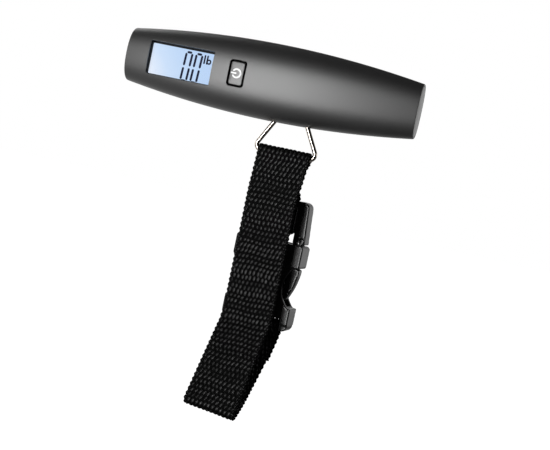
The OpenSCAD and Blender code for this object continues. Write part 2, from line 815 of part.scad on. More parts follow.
// Upright outline in X' and Z', thick along Y'
module slab(y0, y1) {
    translate([0, y1, 0])
        rotate([90, 0, 0])
            linear_extrude(y1 - y0)
                children();
}
module buckle_socket() {
    color([0.05, 0.05, 0.055])
        in_buckle_frame()
            difference() {
                union() {
                    slab(-buckle_t / 2, buckle_t / 2)
                        polygon([
                            [-buckle_w / 2 + 1, socket_top], [buckle_w / 2 - 1, socket_top],
                            [buckle_w / 2, socket_top - 1],
                            [buckle_w / 2, -collar_h + 0.6], [buckle_w / 2 - 0.6, -collar_h],
                            [-buckle_w / 2 + 0.6, -collar_h], [-buckle_w / 2, -collar_h + 0.6],
                            [-buckle_w / 2, socket_top - 1]
                        ]);
                    slab(-buckle_t / 2 + 0.5, buckle_t / 2 - 0.5)
                        difference() {
                            translate([-foot_half, -socket_h + 3])
                                square([2 * foot_half, socket_h - 4]);
                            for (s = [-1, 1])
                                translate([s * waist_cut_x, -collar_h - waist_h / 2])
                                    intersection() {
                                        circle(r = waist_cut_r);
                                        square([buckle_w, waist_h], center = true);
                                    }
                        }
                    slab(-buckle_t / 2 + 1, buckle_t / 2 - 1)
                        translate([-foot_half + 2.5, -socket_h - 0.2])
                            square([2 * foot_half - 5, 6]);
                    for (s = [-1, 1])
                        translate([s * (foot_half - 3), 0, -socket_h + 2.8])
                            rotate([90, 0, 0])
                                cylinder(r = 3, h = buckle_t - 2, center = true);
                }
                box([-mouth_half, -mouth_t / 2, foot_top + 0.6], [mouth_half, mouth_t / 2, 1]);
                box([-foot_half - 1, -mouth_t / 2, foot_top + 0.6], [foot_half + 1, mouth_t / 2, -collar_h]);
                difference() {
                    box([-rail_in, -buckle_t, -socket_h - 1], [rail_in, buckle_t, foot_top - 5.4]);
                    translate([-buckle_w / 2, 0, socket_bar_z])
                        rotate([0, 90, 0])
                            cylinder(r = socket_bar_r, h = buckle_w);
                }
            }
}
module plug_frame() {
    color([0.05, 0.05, 0.055])
        in_buckle_frame()
            difference() {
                union() {
                    slab(-plug_t / 2, plug_t / 2)
                        difference() {
                            union() {
                                polygon([
                                    [-plug_half, 0.2], [plug_half, 0.2],
                                    [plug_top_half, plug_h - 3], [-plug_top_half, plug_h - 3]
                                ]);
                                translate([-plug_top_half + 3, plug_h - 4])
                                    square([2 * plug_top_half - 6, 4]);
                                for (s = [-1, 1])
                                    translate([s * (plug_top_half - 3), plug_h - 3])
                                        circle(r = 3);
                            }
                            translate([-plug_rail_in, plug_bar_z - plug_wrap - strap_t / 2 - gap])
                                square([2 * plug_rail_in, plug_h]);
                            translate([-post_in, -1])
                                square([2 * post_in, 6]);
                        }
                    box([-plug_rail_in - 1, -plug_t / 2, plug_h - 3.1], [plug_rail_in + 1, -1.6, plug_h]);
                    translate([-plug_rail_in - 1, 0, plug_bar_z])
                        rotate([0, 90, 0])
                            cylinder(r = plug_bar_r, h = 2 * plug_rail_in + 2);
                    for (s = [-1, 1]) {
                        box([s > 0 ? post_in : -post_out, -2.2, -3.2], [s > 0 ? post_out : -post_in, 2.2, 2]);
                        box([s > 0 ? 4.6 : -6.2, -1, -19], [s > 0 ? 6.2 : -4.6, 1, -0.8]);
                    }
                    box([-6.2, -1, -19], [6.2, 1, -16.4]);
                    box([-post_out, -1.4, -3.2], [post_out, 1.4, -0.6]);
                }
                for (s = [-1, 1]) {
                    rod_y(s * knuckle[0], knuckle[1], -plug_t, plug_t, knuckle_r + 0.08);
                    box([s > 0 ? 11.5 : -15.4, -plug_t, -1], [s > 0 ? 15.4 : -11.5, plug_t, 1.3]);
                }
            }
}
// Height on a plug arm below the collar, as a share of its prong's length
prong_h = waist_h - 1.9;
function prong_z(share) = -collar_h - share * prong_h;
module plug_arm() {
    rod_y(knuckle[0], knuckle[1], -arm_t / 2, arm_t / 2, knuckle_r);
    slab(-arm_t / 2, arm_t / 2)
        polygon([
            [13, 1.3], [14.6, 1.3], [14.5, -3], [14.5, -collar_h - 0.4], [16, -collar_h - 0.6],
            [16.1, prong_z(0.12)], [15.8, prong_z(0.26)], [15.2, prong_z(0.44)], [14.3, prong_z(0.62)],
            [13.1, prong_z(0.8)], [11.8, prong_z(0.945)], [10.8, prong_z(1)], [9.9, prong_z(0.995)],
            [9.5, prong_z(0.93)], [10.2, prong_z(0.68)], [10.8, prong_z(0.38)], [11.2, prong_z(0.085)],
            [11.4, -8], [12.2, -4.5]
        ]);
}
module plug_arm_right() {
    color([0.05, 0.05, 0.055])
        in_buckle_frame()
            plug_arm();
}
module plug_arm_left() {
    color([0.05, 0.05, 0.055])
        in_buckle_frame()
            mirror([1, 0, 0])
                plug_arm();
}

front_shell();
rear_shell();
end_cap_left();
end_cap_right();
display_window();
lcd_panel();
lcd_backlight();
lcd_frame();
lcd_strip();
main_board();
controller_chip();
tact_switch();
switch_plunger();
power_button();
coin_cell();
contact_negative();
contact_positive();
battery_cover();
load_cell();
strain_gauges();
load_cell_bolts();
stirrup();
stirrup_bolt();
stirrup_pin();
gauge_cable();
case_screws();
board_screws();
strap_ring();
strap_long();
strap_short();
seam_stitching();
socket_stitching();
buckle_socket();
plug_frame();
plug_arm_left();
plug_arm_right();
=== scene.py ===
import math

import bmesh
import bpy
import numpy as np
from mathutils import Matrix, Vector


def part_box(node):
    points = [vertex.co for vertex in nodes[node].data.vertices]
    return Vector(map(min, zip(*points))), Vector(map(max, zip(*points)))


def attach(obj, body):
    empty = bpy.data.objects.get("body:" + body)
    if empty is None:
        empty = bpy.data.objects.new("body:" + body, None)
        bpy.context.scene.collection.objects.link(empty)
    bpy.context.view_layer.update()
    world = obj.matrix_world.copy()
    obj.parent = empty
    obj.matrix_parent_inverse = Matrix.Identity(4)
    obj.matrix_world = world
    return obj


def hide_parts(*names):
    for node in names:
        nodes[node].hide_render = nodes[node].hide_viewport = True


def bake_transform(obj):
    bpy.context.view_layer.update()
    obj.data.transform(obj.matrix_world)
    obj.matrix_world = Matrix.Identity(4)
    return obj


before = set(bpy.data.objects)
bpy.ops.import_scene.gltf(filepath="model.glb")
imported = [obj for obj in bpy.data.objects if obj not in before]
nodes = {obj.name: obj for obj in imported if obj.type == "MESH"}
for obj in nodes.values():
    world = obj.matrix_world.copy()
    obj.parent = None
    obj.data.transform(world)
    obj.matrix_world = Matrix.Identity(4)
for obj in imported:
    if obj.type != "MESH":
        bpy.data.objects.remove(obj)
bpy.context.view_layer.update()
scene = bpy.context.scene
MM = 0.001

# Handle sizes, in millimetres like every size of the object
HALF_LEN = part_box("front_shell")[1].x / MM
MID_HALF_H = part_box("front_shell")[1].z / MM
MID_HALF_D = -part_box("front_shell")[0].y / MM
END_HALF_H = 12.1
END_HALF_D = 9.5
SECTION_POWER = 2.35
WALL = 2.0
RIM = 0.8
CAP_T = 3.0
CAP_GAP = 0.12
CAP_EDGE = 0.3
END_EDGE = 0.35
SEAM = 0.18
STATIONS = 96
SIDES = 72
INNER_STEPS = 40
BEYOND = 20.0

# Display, button and battery places
WINDOW_X, WINDOW_W, WINDOW_H = -40.6, 30.4, 15.0
WINDOW_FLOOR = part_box("display_window")[0].y / MM
WINDOW_CORNER, WINDOW_LIP, WINDOW_BACK = 0.45, 0.4, 0.8
BEZEL, BEZEL_LEFT, BEZEL_BACK = 1.2, 1.4, 0.5
LENS_W, LENS_H = WINDOW_W + 3.0, WINDOW_H + 2.8
LENS_CORNER, LENS_EDGE, LENS_GAP = 0.5, 0.15, 0.12
POCKET_GAP = 0.4
LCD_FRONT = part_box("lcd_panel")[0].y / MM
BUTTON_X, BUTTON_W, BUTTON_H = -13.4, 7.6, 11.6
BUTTON_GAP, BUTTON_CORNER, BUTTON_EDGE = 0.7, 0.9, 0.3
HOLE_PLAY, HOLE_CORNER, HOLE_LIP, HOLE_BACK = 0.1, 1.35, 0.2, 1.0
FLANGE_LAP, FLANGE_CORNER, FLANGE_GAP = 0.8, 1.5, 0.7
FLANGE_T, FLANGE_SINK = 1.0, 0.2
STEM_R = 1.5
WELL_X = -34.0
CELL_R = 10.0
WELL_WALL, WELL_FRONT = 3.0, 0.2
SLIT_IN, SLIT_OUT, SLIT_BACK, SLIT_HALF = 0.2, 1.3, 4.7, 2.0

# Bores of the battery well from front to back: start and end along Y, and radius
WELL_BORES = [
    (-1.0, 1.1, CELL_R - 1.5),
    (1.0, 4.8, CELL_R + 0.3),
    (4.7, 6.1, CELL_R + 1.8),
    (6.0, 7.7, CELL_R + 0.6),
    (7.6, BEYOND, CELL_R + 1.5),
]

# Screws and bolts of the housing, with their bosses
SCREWS = [(-61.0, 0.0), (-3.5, 11.0), (-3.5, -11.0), (61.0, 0.0)]
BOSS_R, PILOT_R, SHANK_R, HEAD_R = 2.7, 1.15, 1.25, 2.35
PILOT_END, HEAD_SEAT = -5.6, 4.2
BOARD_SCREWS = [(-20.6, -8.6), (-20.6, 8.6)]
BOARD_BOSS_R, BOARD_PILOT_R = 1.7, 0.85
BOARD_SEAT, BOARD_PILOT_END = -2.4, -6.4
BEAM_SEAT_LOW, BEAM_SEAT_HIGH = (45.0, 4.5, -1.5), (57.0, BEYOND, 8.5)
BOLTS = [(48.4, 3.5), (53.8, 3.5)]
BOLT_R, BOLT_END = 1.55, 8.1

# Ring, strap and buckle places
RING_X = 12.4
WIRE_R = 1.05
SLOT_HALF, SLOT_SIDE, SLOT_RISE = 10.75, 1.1, 6.0
UNDER_Z = -17.025
BAR_Z = -30.425
STRAP_W, STRAP_T, TAB_W = 24.3, 1.4, 17.0
STRAP_DROP = 117.0
BUCKLE_O = np.array([RING_X + 1, 10.4, BAR_Z - 38.5])
STRAP_YAW = 9.0
PLUG_H, PLUG_BAR_R, PLUG_BAR_Z = 19.4, 1.3, 6.4
SOCKET_BAR_R, SOCKET_BAR_Z = 1.5, -38.5


# Mesh helpers: a shape is an array of points and a list of faces
def loft(rings):
    rings = np.asarray(rings, float)
    n, m = rings.shape[:2]
    i, j = np.meshgrid(np.arange(n - 1), np.arange(m), indexing="ij")
    k = (j + 1) % m
    quads = np.stack([i * m + j, i * m + k, (i + 1) * m + k, (i + 1) * m + j], -1).reshape(-1, 4)
    low = list(range(m))[::-1]
    high = list(range((n - 1) * m, n * m))
    return rings.reshape(-1, 3), quads.tolist() + [low, high]


def joined(shapes):
    points, faces, count = [], [], 0
    for p, f in shapes:
        points.append(p)
        faces += [[i + count for i in face] for face in f]
        count += len(p)
    return np.concatenate(points), faces


def box(lo, hi):
    (x0, y0, z0), (x1, y1, z1) = lo, hi
    return loft([[[x, y0, z0], [x, y1, z0], [x, y1, z1], [x, y0, z1]] for x in (x0, x1)])


def circle(r, count=64):
    t = np.linspace(0, 2 * math.pi, count, endpoint=False)
    return np.stack([r * np.cos(t), r * np.sin(t)], -1)


def rounded(w, h, r, steps=8):
    x, y = w / 2 - r, h / 2 - r
    corners = [(x, y), (-x, y), (-x, -y), (x, -y)]
    points = []
    for quarter, centre in enumerate(corners):
        t = np.radians(90 * quarter + np.linspace(0, 90, steps + 1))
        points.append(np.stack([centre[0] + r * np.cos(t), centre[1] + r * np.sin(t)], -1))
    return np.concatenate(points)


def on_y(outline, x, z, y):
    y = np.broadcast_to(y, len(outline))
    return np.stack([outline[:, 0] + x, y, outline[:, 1] + z], -1)


def rod_y(x, z, y0, y1, r, count=64):
    return loft([on_y(circle(r, count), x, z, y) for y in (y0, y1)])


def new_object(name, shape):
    points, faces = shape
    mesh = bpy.data.meshes.new(name)
    mesh.from_pydata((np.asarray(points) * MM).tolist(), [], faces)
    work = bmesh.new()
    work.from_mesh(mesh)
    bmesh.ops.recalc_face_normals(work, faces=work.faces)
    work.to_mesh(mesh)
    work.free()
    obj = bpy.data.objects.new(name, mesh)
    scene.collection.objects.link(obj)
    return obj


def smooth_faces(obj, angle=32):
    obj.data.shade_smooth()
    obj.data.set_sharp_from_angle(angle=math.radians(angle))


def carve(obj, shapes):
    """Cuts the shapes out of the object, each shape in turn."""
    for shape in shapes:
        cutter = new_object("cutter", shape)
        cut = obj.modifiers.new("cut", "BOOLEAN")
        cut.object = cutter
        cut.solver = "EXACT"
        evaluated = obj.evaluated_get(bpy.context.evaluated_depsgraph_get())
        mesh = bpy.data.meshes.new_from_object(evaluated)
        obj.modifiers.clear()
        old = obj.data
        obj.data = mesh
        bpy.data.meshes.remove(old)
        bpy.data.objects.remove(cutter)


def paint(obj, material):
    obj.data.materials.clear()
    obj.data.materials.append(material)


def stand_in(obj, material, body, slot, *replaced):
    """A finished piece that rides on a body in place of CAD nodes."""
    paint(obj, material)
    if replaced:
        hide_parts(*replaced)
    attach(obj, body)


# Barrel surface of the handle
def bulge(x):
    return 1 - (x / HALF_LEN) ** 2


def half_h(x):
    return END_HALF_H + (MID_HALF_H - END_HALF_H) * bulge(x)


def half_d(x):
    return END_HALF_D + (MID_HALF_D - END_HALF_D) * bulge(x)


def front_y(x, z):
    inside = 1 - (np.abs(z) / half_h(x)) ** SECTION_POWER
    return -half_d(x) * inside ** (1 / SECTION_POWER)


def barrel_normals(p):
    x, y, z = p.T
    d, h = half_d(x), half_h(x)
    fy, fz = (np.abs(y) / d) ** SECTION_POWER, (np.abs(z) / h) ** SECTION_POWER
    slope = -2 * x / HALF_LEN**2
    nx = -fy * slope * (MID_HALF_D - END_HALF_D) / d - fz * slope * (MID_HALF_H - END_HALF_H) / h
    ny = np.sign(y) * (np.abs(y) / d) ** (SECTION_POWER - 1) / d
    nz = np.sign(z) * (np.abs(z) / h) ** (SECTION_POWER - 1) / h
    n = np.stack([nx, ny, nz], -1)
    return n / np.linalg.norm(n, axis=1)[:, None], fy + fz


def section(x, inset, start, stop, count):
    t = np.radians(np.linspace(start, stop, count))
    c, s = np.cos(t), np.sin(t)
    y = (half_d(x) - inset) * np.sign(c) * np.abs(c) ** (2 / SECTION_POWER)
    z = (half_h(x) - inset) * np.sign(s) * np.abs(s) ** (2 / SECTION_POWER)
    return np.stack([np.full_like(y, x), y, z], -1)


def rounded_stations(reach, edge):
    """X stations with the inset that rounds both ends of the barrel."""
    turn = np.radians(np.linspace(90, 0, 6))
    ends = [(reach - edge + edge * math.sin(t), edge * (1 - math.cos(t))) for t in turn]
    middle = np.linspace(-ends[-1][0], ends[-1][0], STATIONS)[1:-1]
    return [(-x, i) for x, i in ends] + [(x, 0.0) for x in middle] + [(x, i) for x, i in ends[::-1]]


def half_barrel(side):
    """Half of the housing as a solid, with a fine chamfer along the seam between the halves."""
    rings = []
    for x, inset in rounded_stations(HALF_LEN, END_EDGE):
        arc = section(x, inset, 90, -90, SIDES + 1) * [1, side, 1]
        top, foot = arc[0].copy(), arc[-1].copy()
        arc[0, 1] = arc[-1, 1] = side * SEAM
        rings.append(np.concatenate([[top - [0, 0, SEAM]], arc, [foot + [0, 0, SEAM]]]))
    return loft(rings)


def half_hollow(side):
    rings = []
    for x in np.linspace(-HALF_LEN - 1, HALF_LEN + 1, INNER_STEPS):
        arc = section(x, WALL, 90, -90, INNER_STEPS + 1) * [1, side, 1]
        flat = [[x, -side, arc[-1, 2]], [x, -side, arc[0, 2]]]
        rings.append(np.concatenate([arc, flat]))
    return loft(rings)


def barrel_slice(x0, x1, inset, edge=0.0):
    """Slice of the barrel from x0 to x1, smaller by the inset, with a rounded edge at x1."""
    turn = np.radians(np.linspace(0, 90, 5)) if edge else np.zeros(1)
    stops = [(x0, 0.0)]
    for t in turn:
        back = math.copysign(edge * (1 - math.sin(t)), x1 - x0)
        stops.append((x1 - back, edge * (1 - math.cos(t))))
    return loft([section(x, inset + more, 0, 358, 180) for x, more in stops])


def lipped_hole(x, w, h, r, lip, floor):
    """Cutter for a hole in the front with a rounded lip that follows the barrel."""
    rings = []
    for k, t in enumerate(np.radians(np.linspace(25, 90, 6))):
        off, depth = lip * (1 - math.sin(t)), lip * (1 - math.cos(t))
        ring = on_y(rounded(w + 2 * off, h + 2 * off, r + off), x, 0, 0)
        surface = front_y(ring[:, 0], ring[:, 2])
        if k == 0:
            ring[:, 1] = -MID_HALF_D - 3
            rings.append(ring.copy())
        ring[:, 1] = surface + depth
        rings.append(ring)
    last = rings[-1].copy()
    last[:, 1] = floor
    return loft(rings + [last])


# How near the barrel a corner lies, and how far its face turns, to take the barrel's normal
ON_BARREL, FACING = 0.006, 0.93


def barrel_shading(obj):
    """Gives the faces on the barrel the barrel's own normals."""
    smooth_faces(obj)
    mesh = obj.data
    co = np.empty(len(mesh.vertices) * 3)
    mesh.vertices.foreach_get("co", co)
    normals, level = barrel_normals(co.reshape(-1, 3) / MM + 1e-9)
    loops = np.empty(len(mesh.loops), int)
    mesh.loops.foreach_get("vertex_index", loops)
    totals = np.array([p.loop_total for p in mesh.polygons])
    face_n = np.repeat(np.array([p.normal for p in mesh.polygons]), totals, axis=0)
    custom = normals[loops]
    off = (np.abs(level[loops] - 1) > ON_BARREL) | ((custom * face_n).sum(1) < FACING)
    custom[off] = 0
    mesh.normals_split_custom_set(custom.tolist())


# Node helpers for procedural materials
def feed(tree, target, value):
    """Gives an input either a link or a plain value."""
    if isinstance(value, bpy.types.NodeSocket):
        tree.links.new(value, target)
    else:
        target.default_value = value


def add(tree, kind, settings=None, **sockets):
    made = tree.nodes.new("ShaderNode" + kind)
    for key, value in (settings or {}).items():
        setattr(made, key, value)
    for key, value in sockets.items():
        feed(tree, made.inputs[key.replace("_", " ")], value)
    return made


def calc(tree, operation, *values):
    made = add(tree, "Math", {"operation": operation})
    for target, value in zip(made.inputs, values):
        feed(tree, target, value)
    return made.outputs[0]


def grey(value):
    return (value, value, value, 1.0)


def ramp(tree, factor, stops):
    made = add(tree, "ValToRGB", Fac=factor)
    elements = made.color_ramp.elements
    while len(elements) < len(stops):
        elements.new(0.5)
    for element, (place, colour) in zip(elements, stops):
        element.position = place
        element.color = colour
    return made.outputs["Color"]


def blank(name):
    made = bpy.data.materials.new(name)
    made.use_nodes = True
    tree = made.node_tree
    return made, tree, tree.nodes["Principled BSDF"]


def spread(tree, factor, low, high, start=0.0, stop=1.0):
    """Takes a factor from the range start to stop over to the range low to high."""
    made = add(tree, "MapRange", Value=factor, From_Min=start, From_Max=stop, To_Min=low, To_Max=high)
    return made.outputs["Result"]


def finish(name, dark, light, rough, size, grain, depth, stretch=(1, 1, 1), **fixed):
    """Mottled, grained finish: two tones, a roughness range, mottle and grain sizes and grain depth."""
    made, tree, shader = blank(name)
    place = add(tree, "TexCoord").outputs["Object"]
    place = add(tree, "Mapping", Vector=place, Scale=stretch).outputs["Vector"]
    mottle = add(tree, "TexNoise", Vector=place, Scale=1 / (size * MM), Detail=4.0).outputs["Fac"]
    fine = add(tree, "TexNoise", Vector=place, Scale=1 / (grain * MM), Detail=2.0).outputs["Fac"]
    colour = ramp(tree, mottle, [(0.3, dark), (0.7, light)])
    tree.links.new(colour, shader.inputs["Base Color"])
    tree.links.new(spread(tree, mottle, *rough), shader.inputs["Roughness"])
    bump = add(tree, "Bump", Height=fine, Strength=1.0, Distance=depth * MM)
    tree.links.new(bump.outputs["Normal"], shader.inputs["Normal"])
    for key, value in fixed.items():
        shader.inputs[key.replace("_", " ")].default_value = value
    return made


def window_clear():
    """Clear sheet with a faint soft reflection."""
    made, tree, shader = blank("clear_acrylic")
    tree.nodes.remove(shader)
    place = add(tree, "TexCoord").outputs["Object"]
    haze = add(tree, "TexNoise", Vector=place, Scale=60.0, Detail=1.0).outputs["Fac"]
    clear = add(tree, "BsdfTransparent", Color=(0.97, 0.98, 1.0, 1.0))
    gloss = add(tree, "BsdfGlossy", Color=grey(1.0), Roughness=0.3)
    sheet = add(tree, "MixShader", Fac=spread(tree, haze, 0.001, 0.0025))
    tree.links.new(clear.outputs[0], sheet.inputs[1])
    tree.links.new(gloss.outputs[0], sheet.inputs[2])
    tree.links.new(sheet.outputs[0], tree.nodes["Material Output"].inputs["Surface"])
    return made


GLOW_LEFT, GLOW_RIGHT = -58.0, -26.0


def lcd_glow():
    """Backlit display: nearly white at the left, pale blue to the right, faintly clouded."""
    made, tree, shader = blank("lcd_backlit")
    place = add(tree, "TexCoord").outputs["Object"]
    split = add(tree, "SeparateXYZ", Vector=place).outputs
    lean, cloud = 0.55, 0.12
    slope = calc(tree, "MULTIPLY_ADD", split["Z"], lean, split["X"])
    along = spread(tree, slope, 0.0, 1.0, GLOW_LEFT * MM, GLOW_RIGHT * MM)
    soft = add(tree, "TexNoise", Vector=place, Scale=120.0, Detail=2.0).outputs["Fac"]
    colour = ramp(tree, calc(tree, "MULTIPLY_ADD", soft, cloud, along), [
        (0.0, (0.86, 0.90, 0.97, 1)),
        (0.3, (0.63, 0.76, 0.93, 1)),
        (0.55, (0.55, 0.70, 0.90, 1)),
        (1.0, (0.49, 0.65, 0.88, 1)),
    ])
    tree.links.new(colour, shader.inputs["Emission Color"])
    shader.inputs["Emission Strength"].default_value = 0.95
    dim = ramp(tree, soft, [(0.3, (0.04, 0.05, 0.06, 1)), (0.7, (0.05, 0.06, 0.07, 1))])
    tree.links.new(dim, shader.inputs["Base Color"])
    shader.inputs["Roughness"].default_value = 0.6
    shader.inputs["Specular IOR Level"].default_value = 0.0
    return made


YARN_TURN = math.radians(14)


def webbing_yarn():
    """Black woven yarn: fine filaments along each grain, with painted shade between the grains: darker and
    hardly reflecting where a grain is low, paler where a grain stands up.
    """
    made, tree, shader = blank("black_webbing")
    uv = add(tree, "UVMap", {"uv_map": "weave"}).outputs["UV"]
    turn = (0, 0, -YARN_TURN)
    strands = add(tree, "Mapping", Vector=uv, Scale=(3.6, 0.8, 1.0), Rotation=turn)
    fibre = add(tree, "TexNoise", Vector=strands.outputs["Vector"], Scale=1.0, Detail=3.0).outputs["Fac"]
    height = add(tree, "Attribute", {"attribute_name": "grain"}).outputs["Fac"]
    # Painted shade: the colour darkens from the grain tops down into the valleys between grains
    tone = ramp(tree, height, [(0.05, grey(0.0018)), (0.6, grey(0.0035)), (1.0, grey(0.0085))])
    fleck = ramp(tree, fibre, [(0.25, grey(0.55)), (0.75, grey(1.25))])
    colour = add(tree, "MixRGB", {"blend_type": "MULTIPLY"}, Fac=1.0, Color1=tone, Color2=fleck)
    tree.links.new(colour.outputs["Color"], shader.inputs["Base Color"])
    tree.links.new(spread(tree, fibre, 0.32, 0.46), shader.inputs["Roughness"])
    bump = add(tree, "Bump", Height=fibre, Strength=1.0, Distance=0.06 * MM)
    tree.links.new(bump.outputs["Normal"], shader.inputs["Normal"])
    # Painted shade: the reflection fades out in the valleys between grains
    shine = spread(tree, height, 0.015, 0.38, 0.38, 0.92)
    tree.links.new(shine, shader.inputs["Specular IOR Level"])
    return made


def circuit_green():
    made, tree, shader = blank("circuit_board")
    place = add(tree, "TexCoord").outputs["Object"]
    flat = add(tree, "Mapping", Vector=place, Rotation=(math.radians(90), 0, 0)).outputs["Vector"]
    tracks = add(tree, "TexBrick", Vector=flat, Scale=420.0, Mortar_Size=0.012,
                 Color1=(0.012, 0.09, 0.035, 1), Color2=(0.016, 0.11, 0.045, 1), Mortar=(0.05, 0.2, 0.08, 1))
    tree.links.new(tracks.outputs["Color"], shader.inputs["Base Color"])
    shine = add(tree, "TexNoise", Vector=place, Scale=900.0, Detail=2.0).outputs["Fac"]
    tree.links.new(spread(tree, shine, 0.25, 0.4), shader.inputs["Roughness"])
    return made


def striped_strip():
    made, tree, shader = blank("zebra_strip")
    place = add(tree, "TexCoord").outputs["Object"]
    lines = add(tree, "TexWave", {"bands_direction": "X"}, Vector=place, Scale=900.0).outputs["Fac"]
    colour = ramp(tree, lines, [(0.4, (0.55, 0.2, 0.22, 1)), (0.6, grey(0.03))])
    tree.links.new(colour, shader.inputs["Base Color"])
    shader.inputs["Roughness"].default_value = 0.7
    return made


# Plastics, metals and other finishes, with the stretch of streaked and brushed ones
STREAKED, BRUSHED = (6, 1, 1), (1, 12, 12)
handle_plastic = finish("handle_plastic", grey(0.008), grey(0.011), (0.43, 0.49), 1.2, 0.4, 0.012,
                        IOR=2.0)
cap_plastic = finish("cap_plastic", grey(0.012), grey(0.017), (0.30, 0.40), 2.0, 0.15, 0.006,
                     STREAKED, IOR=1.4)
button_plastic = finish("button_plastic", grey(0.010), grey(0.014), (0.42, 0.47), 2.0, 0.12, 0.006,
                        IOR=2.0)
symbol_white = finish("symbol_white", grey(0.80), grey(0.88), (0.4, 0.5), 0.5, 0.1, 0.003)
lcd_ink = finish("lcd_ink", (0.002, 0.004, 0.022, 1), (0.004, 0.007, 0.032, 1), (0.5, 0.6), 0.6, 0.1, 0.002,
                 Specular_IOR_Level=0.0)
buckle_plastic = finish("buckle_plastic", grey(0.0045), grey(0.0065), (0.20, 0.28), 2.5, 0.2, 0.004,
                        IOR=1.42)
# Painted shade: near-black matte plastic on faces inside the housing and the key, where shade falls; the
# same black also makes the border round the display
shade_and_border_black = finish("shade_and_border_black", grey(0.004), grey(0.006), (0.6, 0.7), 1.5, 0.15, 0.006,
                      Specular_IOR_Level=0.1)
reveal_plastic = finish("reveal_plastic", grey(0.006), grey(0.009), (0.22, 0.30), 1.5, 0.3, 0.004,
                        IOR=1.6)
inner_plastic = finish("inner_plastic", grey(0.010), grey(0.014), (0.4, 0.5), 1.5, 0.15, 0.006)
thread_black = finish("thread_black", grey(0.008), grey(0.02), (0.45, 0.6), 0.3, 0.08, 0.03)
nickel = finish("nickel_wire", (0.66, 0.60, 0.53, 1), (0.75, 0.69, 0.62, 1), (0.06, 0.12), 1.0, 0.3, 0.001,
                Metallic=1.0)
steel = finish("zinc_steel", grey(0.52), grey(0.62), (0.25, 0.38), 1.0, 0.2, 0.004, BRUSHED,
               Metallic=1.0)
aluminium = finish("machined_aluminium", grey(0.62), grey(0.72), (0.28, 0.4), 1.5, 0.2, 0.004, BRUSHED,
                   Metallic=1.0)
cell_steel = finish("cell_steel", grey(0.66), grey(0.74), (0.16, 0.26), 1.5, 0.2, 0.002, BRUSHED,
                    Metallic=1.0)
brass = finish("contact_brass", (0.62, 0.48, 0.22, 1), (0.72, 0.56, 0.28, 1), (0.2, 0.32), 0.8, 0.2, 0.002,
               Metallic=1.0)
white_acrylic = finish("light_guide", (0.75, 0.80, 0.86, 1), (0.82, 0.86, 0.9, 1), (0.3, 0.4), 2.0, 0.2,
                       0.002)
epoxy = finish("chip_epoxy", grey(0.006), grey(0.012), (0.2, 0.35), 1.0, 0.3, 0.02)
gauge_foil = finish("gauge_foil", (0.45, 0.26, 0.08, 1), (0.6, 0.36, 0.12, 1), (0.3, 0.45), 0.4, 0.15, 0.01)
cable_sheath = finish("cable_sheath", grey(0.35), grey(0.42), (0.4, 0.55), 1.0, 0.2, 0.004)
clear_acrylic = window_clear()
lcd_backlit = lcd_glow()
black_webbing = webbing_yarn()
circuit_board = circuit_green()
zebra_strip = striped_strip()


# Housing halves
def rods(places, y0, y1, r):
    return joined([rod_y(x, z, y0, y1, r) for x, z in places])


def front_shell():
    shell = new_object("front_housing", half_barrel(-1))
    hollow = new_object("hollow", half_hollow(-1))
    left, right, top = WINDOW_X - LENS_W / 2, WINDOW_X + LENS_W / 2, LENS_H / 2
    bezel = box((left - BEZEL_LEFT, -BEYOND, -top - BEZEL),
                (right + BEZEL, WINDOW_FLOOR + BEZEL_BACK, top + BEZEL))
    bosses = rods(SCREWS, -BEYOND, 0, BOSS_R)
    board_bosses = rods(BOARD_SCREWS, -BEYOND, BOARD_SEAT, BOARD_BOSS_R)
    carve(hollow, [bezel, joined([bosses, board_bosses])])
    pilots = rods(SCREWS, PILOT_END, 1, PILOT_R)
    board_pilots = rods(BOARD_SCREWS, BOARD_PILOT_END, 1, BOARD_PILOT_R)
    pocket = box((left - POCKET_GAP, WINDOW_FLOOR, -top - POCKET_GAP),
                 (right + POCKET_GAP, 1, top + POCKET_GAP))
    window = lipped_hole(WINDOW_X, WINDOW_W, WINDOW_H, WINDOW_CORNER, WINDOW_LIP, WINDOW_BACK)
    w, h = BUTTON_W + HOLE_PLAY, BUTTON_H + HOLE_PLAY
    hole = lipped_hole(BUTTON_X, w, h, HOLE_CORNER, HOLE_LIP, HOLE_BACK)
    carve(shell, [mesh_shape(hollow), joined(seats()), pocket, joined([window, hole])])
    carve(shell, [joined([pilots, board_pilots]), ring_slot()])
    dress_shell(shell, "front_shell")
    gloss_reveal(shell)


def rear_shell():
    shell = new_object("rear_housing", half_barrel(1))
    hollow = new_object("hollow", half_hollow(1))
    well = rod_y(WELL_X, 0, WELL_FRONT, BEYOND, CELL_R + WELL_WALL)
    carve(hollow, [rods(SCREWS, 0, BEYOND, BOSS_R), well, box(BEAM_SEAT_LOW, BEAM_SEAT_HIGH)])
    shanks = rods(SCREWS, -1, BEYOND, SHANK_R)
    heads = rods(SCREWS, HEAD_SEAT, BEYOND, HEAD_R)
    bores = [rod_y(WELL_X, 0, y0, y1, r, 96) for y0, y1, r in WELL_BORES]
    rim = WELL_X + CELL_R
    slit = box((rim - SLIT_IN, -1, -SLIT_HALF), (rim + SLIT_OUT, SLIT_BACK, SLIT_HALF))
    carve(shell, [mesh_shape(hollow), joined(seats()), shanks, heads] + bores)
    carve(shell, [slit, rods(BOLTS, 0, BOLT_END, BOLT_R), ring_slot()])
    dress_shell(shell, "rear_shell")


def mesh_shape(obj):
    """Takes the points and faces of a scratch object and removes it."""
    points = np.array([v.co for v in obj.data.vertices]) / MM
    faces = [list(p.vertices) for p in obj.data.polygons]
    bpy.data.objects.remove(obj)
    return points, faces


def seats():
    reach = HALF_LEN - CAP_T
    return [barrel_slice(s * reach, s * (HALF_LEN + 1), RIM) for s in (-1, 1)]


